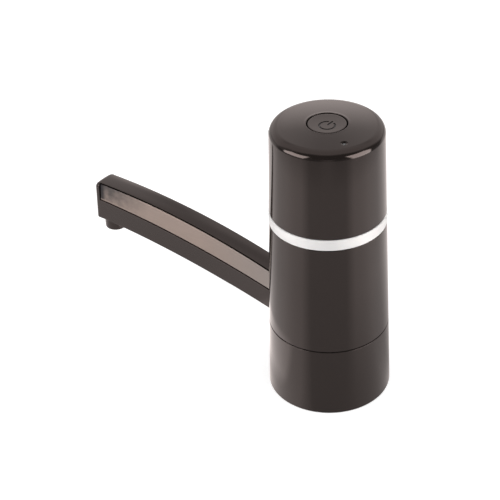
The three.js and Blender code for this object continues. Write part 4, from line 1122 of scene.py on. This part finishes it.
def floor():
    size, under = 2500, -0.2
    corners = [(-size, -size, under), (size, -size, under), (size, size, under),
               (-size, size, under)]
    made = piece("floor", corners, [(0, 1, 2, 3)])
    material, s = finish("pale_floor")
    at = s.place()
    soft = s.grain(at, 400, 2, 0.5)
    # To glossy rays the floor glows with painted light: brighter sides, two softboxes, a bright
    # patch left of the foot and painted shade near the foot, over a darker base. To the camera it
    # is white.
    ray = s.node("ShaderNodeLightPath").socket.node.outputs
    camera, shine = Signal(s, ray["Is Camera Ray"]), Signal(s, ray["Is Glossy Ray"])
    turn, right = s.bearing(at)
    far = s.node("ShaderNodeVectorMath", {"operation": "LENGTH"}, {0: at}, out="Value")
    side = s.between(turn + s.maths("DIVIDE", 774.0, far), 36, 52)
    side = side * s.between(far, 45, 160, 1.45 - right * 1.2, 1.0)
    near = 0.72 + side * 0.7 - s.between(turn, 80, 105) * 0.4
    near = near * s.between(far, 60, 260, 0.75, 1.0)
    away = s.between(turn, 100 + right * 12, 112 + right * 14) * (0.6 + right * 0.25)
    away = away + s.between(turn, 16, 6) * 0.35
    share = softbox_share(s, turn, 46 + s.between(far, 640, 300) * 6)
    boxes = share * s.between(far - (650 - right * 280), 0, 40) * 6.5
    bright = s.between(turn, 58, 68) * s.between(far, 97, 90) * s.between(far, 44, 56)
    bright = bright * (1 - right) * 0.7
    seen = s.between(far, 300, 420, near, away) + boxes + bright
    pale = s.blend(soft, (0.93, 0.93, 0.93), (0.95, 0.95, 0.95))
    s.coat(Base_Color=s.blend(shine, pale, (0.25, 0.24, 0.235)),
           Roughness=0.9, Emission_Strength=1.0,
           Emission_Color=shine * seen * GLOSS_TINT + camera * 0.6 * (1.0, 1.0, 1.0))
    made.data.materials.append(material)


def sky():
    """White to the camera. Gloss sees two softboxes, a dark room in front and a lit backdrop."""
    world = bpy.data.worlds.new("studio")
    bpy.context.scene.world = world
    s = Sheet(world)
    way = s.node("ShaderNodeTexCoord", out="Generated")
    turn, right = s.bearing(way)
    rise = s.maths("ARCSINE", s.parts(way)[2]) * math.degrees(1)
    back = s.between(turn, 88 + right * 2, 106 + right * 19)
    ceiling = 53 - s.between(turn, 40, 90) * 25 - back * 28
    dark = 0.88 - s.between(turn, 60, 85) * (0.26 - right * 0.21)
    room = s.between(rise - ceiling, 9, -9) * dark
    card = s.between(turn, 171, 175) * s.between(rise, 31, 22) * 1.2
    dip = s.between(turn, 172, 179) * s.between(rise, 26, 34) * s.between(rise, 46, 38) * 0.35
    haze = s.between(turn, 120, 135) * s.between(rise, 40, 46) * s.between(rise, 56, 50) * 0.25
    top = s.between(rise + s.between(turn, 72, 86) * 15, 21, 15)
    boxes = softbox_share(s, turn, 42 - rise * 0.28) * top
    gloss = (1.17 + card - dip - haze) * (1 - room) + boxes * 6.8
    ray = s.node("ShaderNodeLightPath").socket.node.outputs
    shine = Signal(s, ray["Is Glossy Ray"])
    direct, through = Signal(s, ray["Is Camera Ray"]), Signal(s, ray["Is Transmission Ray"])
    seen = s.maths("MAXIMUM", direct, through)
    level = (1 - seen) * ((1 - shine) * 0.45 + shine * gloss) + seen
    light = s.node("ShaderNodeBackground", inputs={
        "Color": s.blend(shine, (1, 1, 1), GLOSS_TINT), "Strength": level})
    s.node("ShaderNodeOutputWorld", inputs={"Surface": light})


def softbox(name, bearing, rise, distance, width, height, level):
    """A soft panel that faces the column's top. Bearings are degrees to the camera's right."""
    turn, lift = VIEW_TURN + math.radians(bearing), math.radians(rise)
    lamp = bpy.data.lights.new(name, "AREA")
    lamp.shape = "RECTANGLE"
    lamp.size, lamp.size_y = width * MM, height * MM
    lamp.energy = math.pi * lamp.size * lamp.size_y * level
    made = bpy.data.objects.new(name, lamp)
    away = Vector((math.sin(turn) * math.cos(lift), -math.cos(turn) * math.cos(lift),
                   math.sin(lift)))
    made.location = (Vector((0, 0, LAMP_AIM)) + away * distance) * MM
    made.rotation_euler = away.to_track_quat("Z", "Y").to_euler()
    made.visible_camera = False
    made.visible_glossy = False
    bpy.context.scene.collection.objects.link(made)


def camera():
    """The photograph's view, from 35 degrees to the right and 34 degrees up."""
    pitch, yaw, roll = 0.5964, -0.0441, -0.0339
    stand_back, stand_high = 684.20, 555.595
    ahead = Vector((math.sin(yaw) * math.cos(pitch), math.cos(yaw) * math.cos(pitch),
                    -math.sin(pitch)))
    right = Vector((math.cos(yaw), -math.sin(yaw), 0))
    up = right.cross(ahead)
    right, up = (right * math.cos(roll) + up * math.sin(roll),
                 up * math.cos(roll) - right * math.sin(roll))
    about = Matrix.Rotation(VIEW_TURN, 3, "Z")
    right, up, ahead = about @ right, about @ up, about @ ahead
    place = about @ Vector((0, -stand_back, stand_high)) * MM
    lens = bpy.data.cameras.new("photo_view")
    lens.sensor_width = 36
    lens.lens = 105.05
    lens.shift_x = -0.05
    lens.clip_start, lens.clip_end = 0.01, 50
    made = bpy.data.objects.new("photo_view", lens)
    turned_to = Matrix((right, up, -ahead)).transposed().to_4x4()
    made.matrix_world = Matrix.Translation(place) @ turned_to
    bpy.context.scene.collection.objects.link(made)
    bpy.context.scene.camera = made


floor()
sky()
camera()
for lamp_name, lamp_bearing in (("softbox_left", -60), ("softbox_right", 60)):
    softbox(lamp_name, lamp_bearing, rise=35, distance=1100, width=800, height=800, level=1.6)
bpy.context.scene.view_settings.view_transform = "Standard"
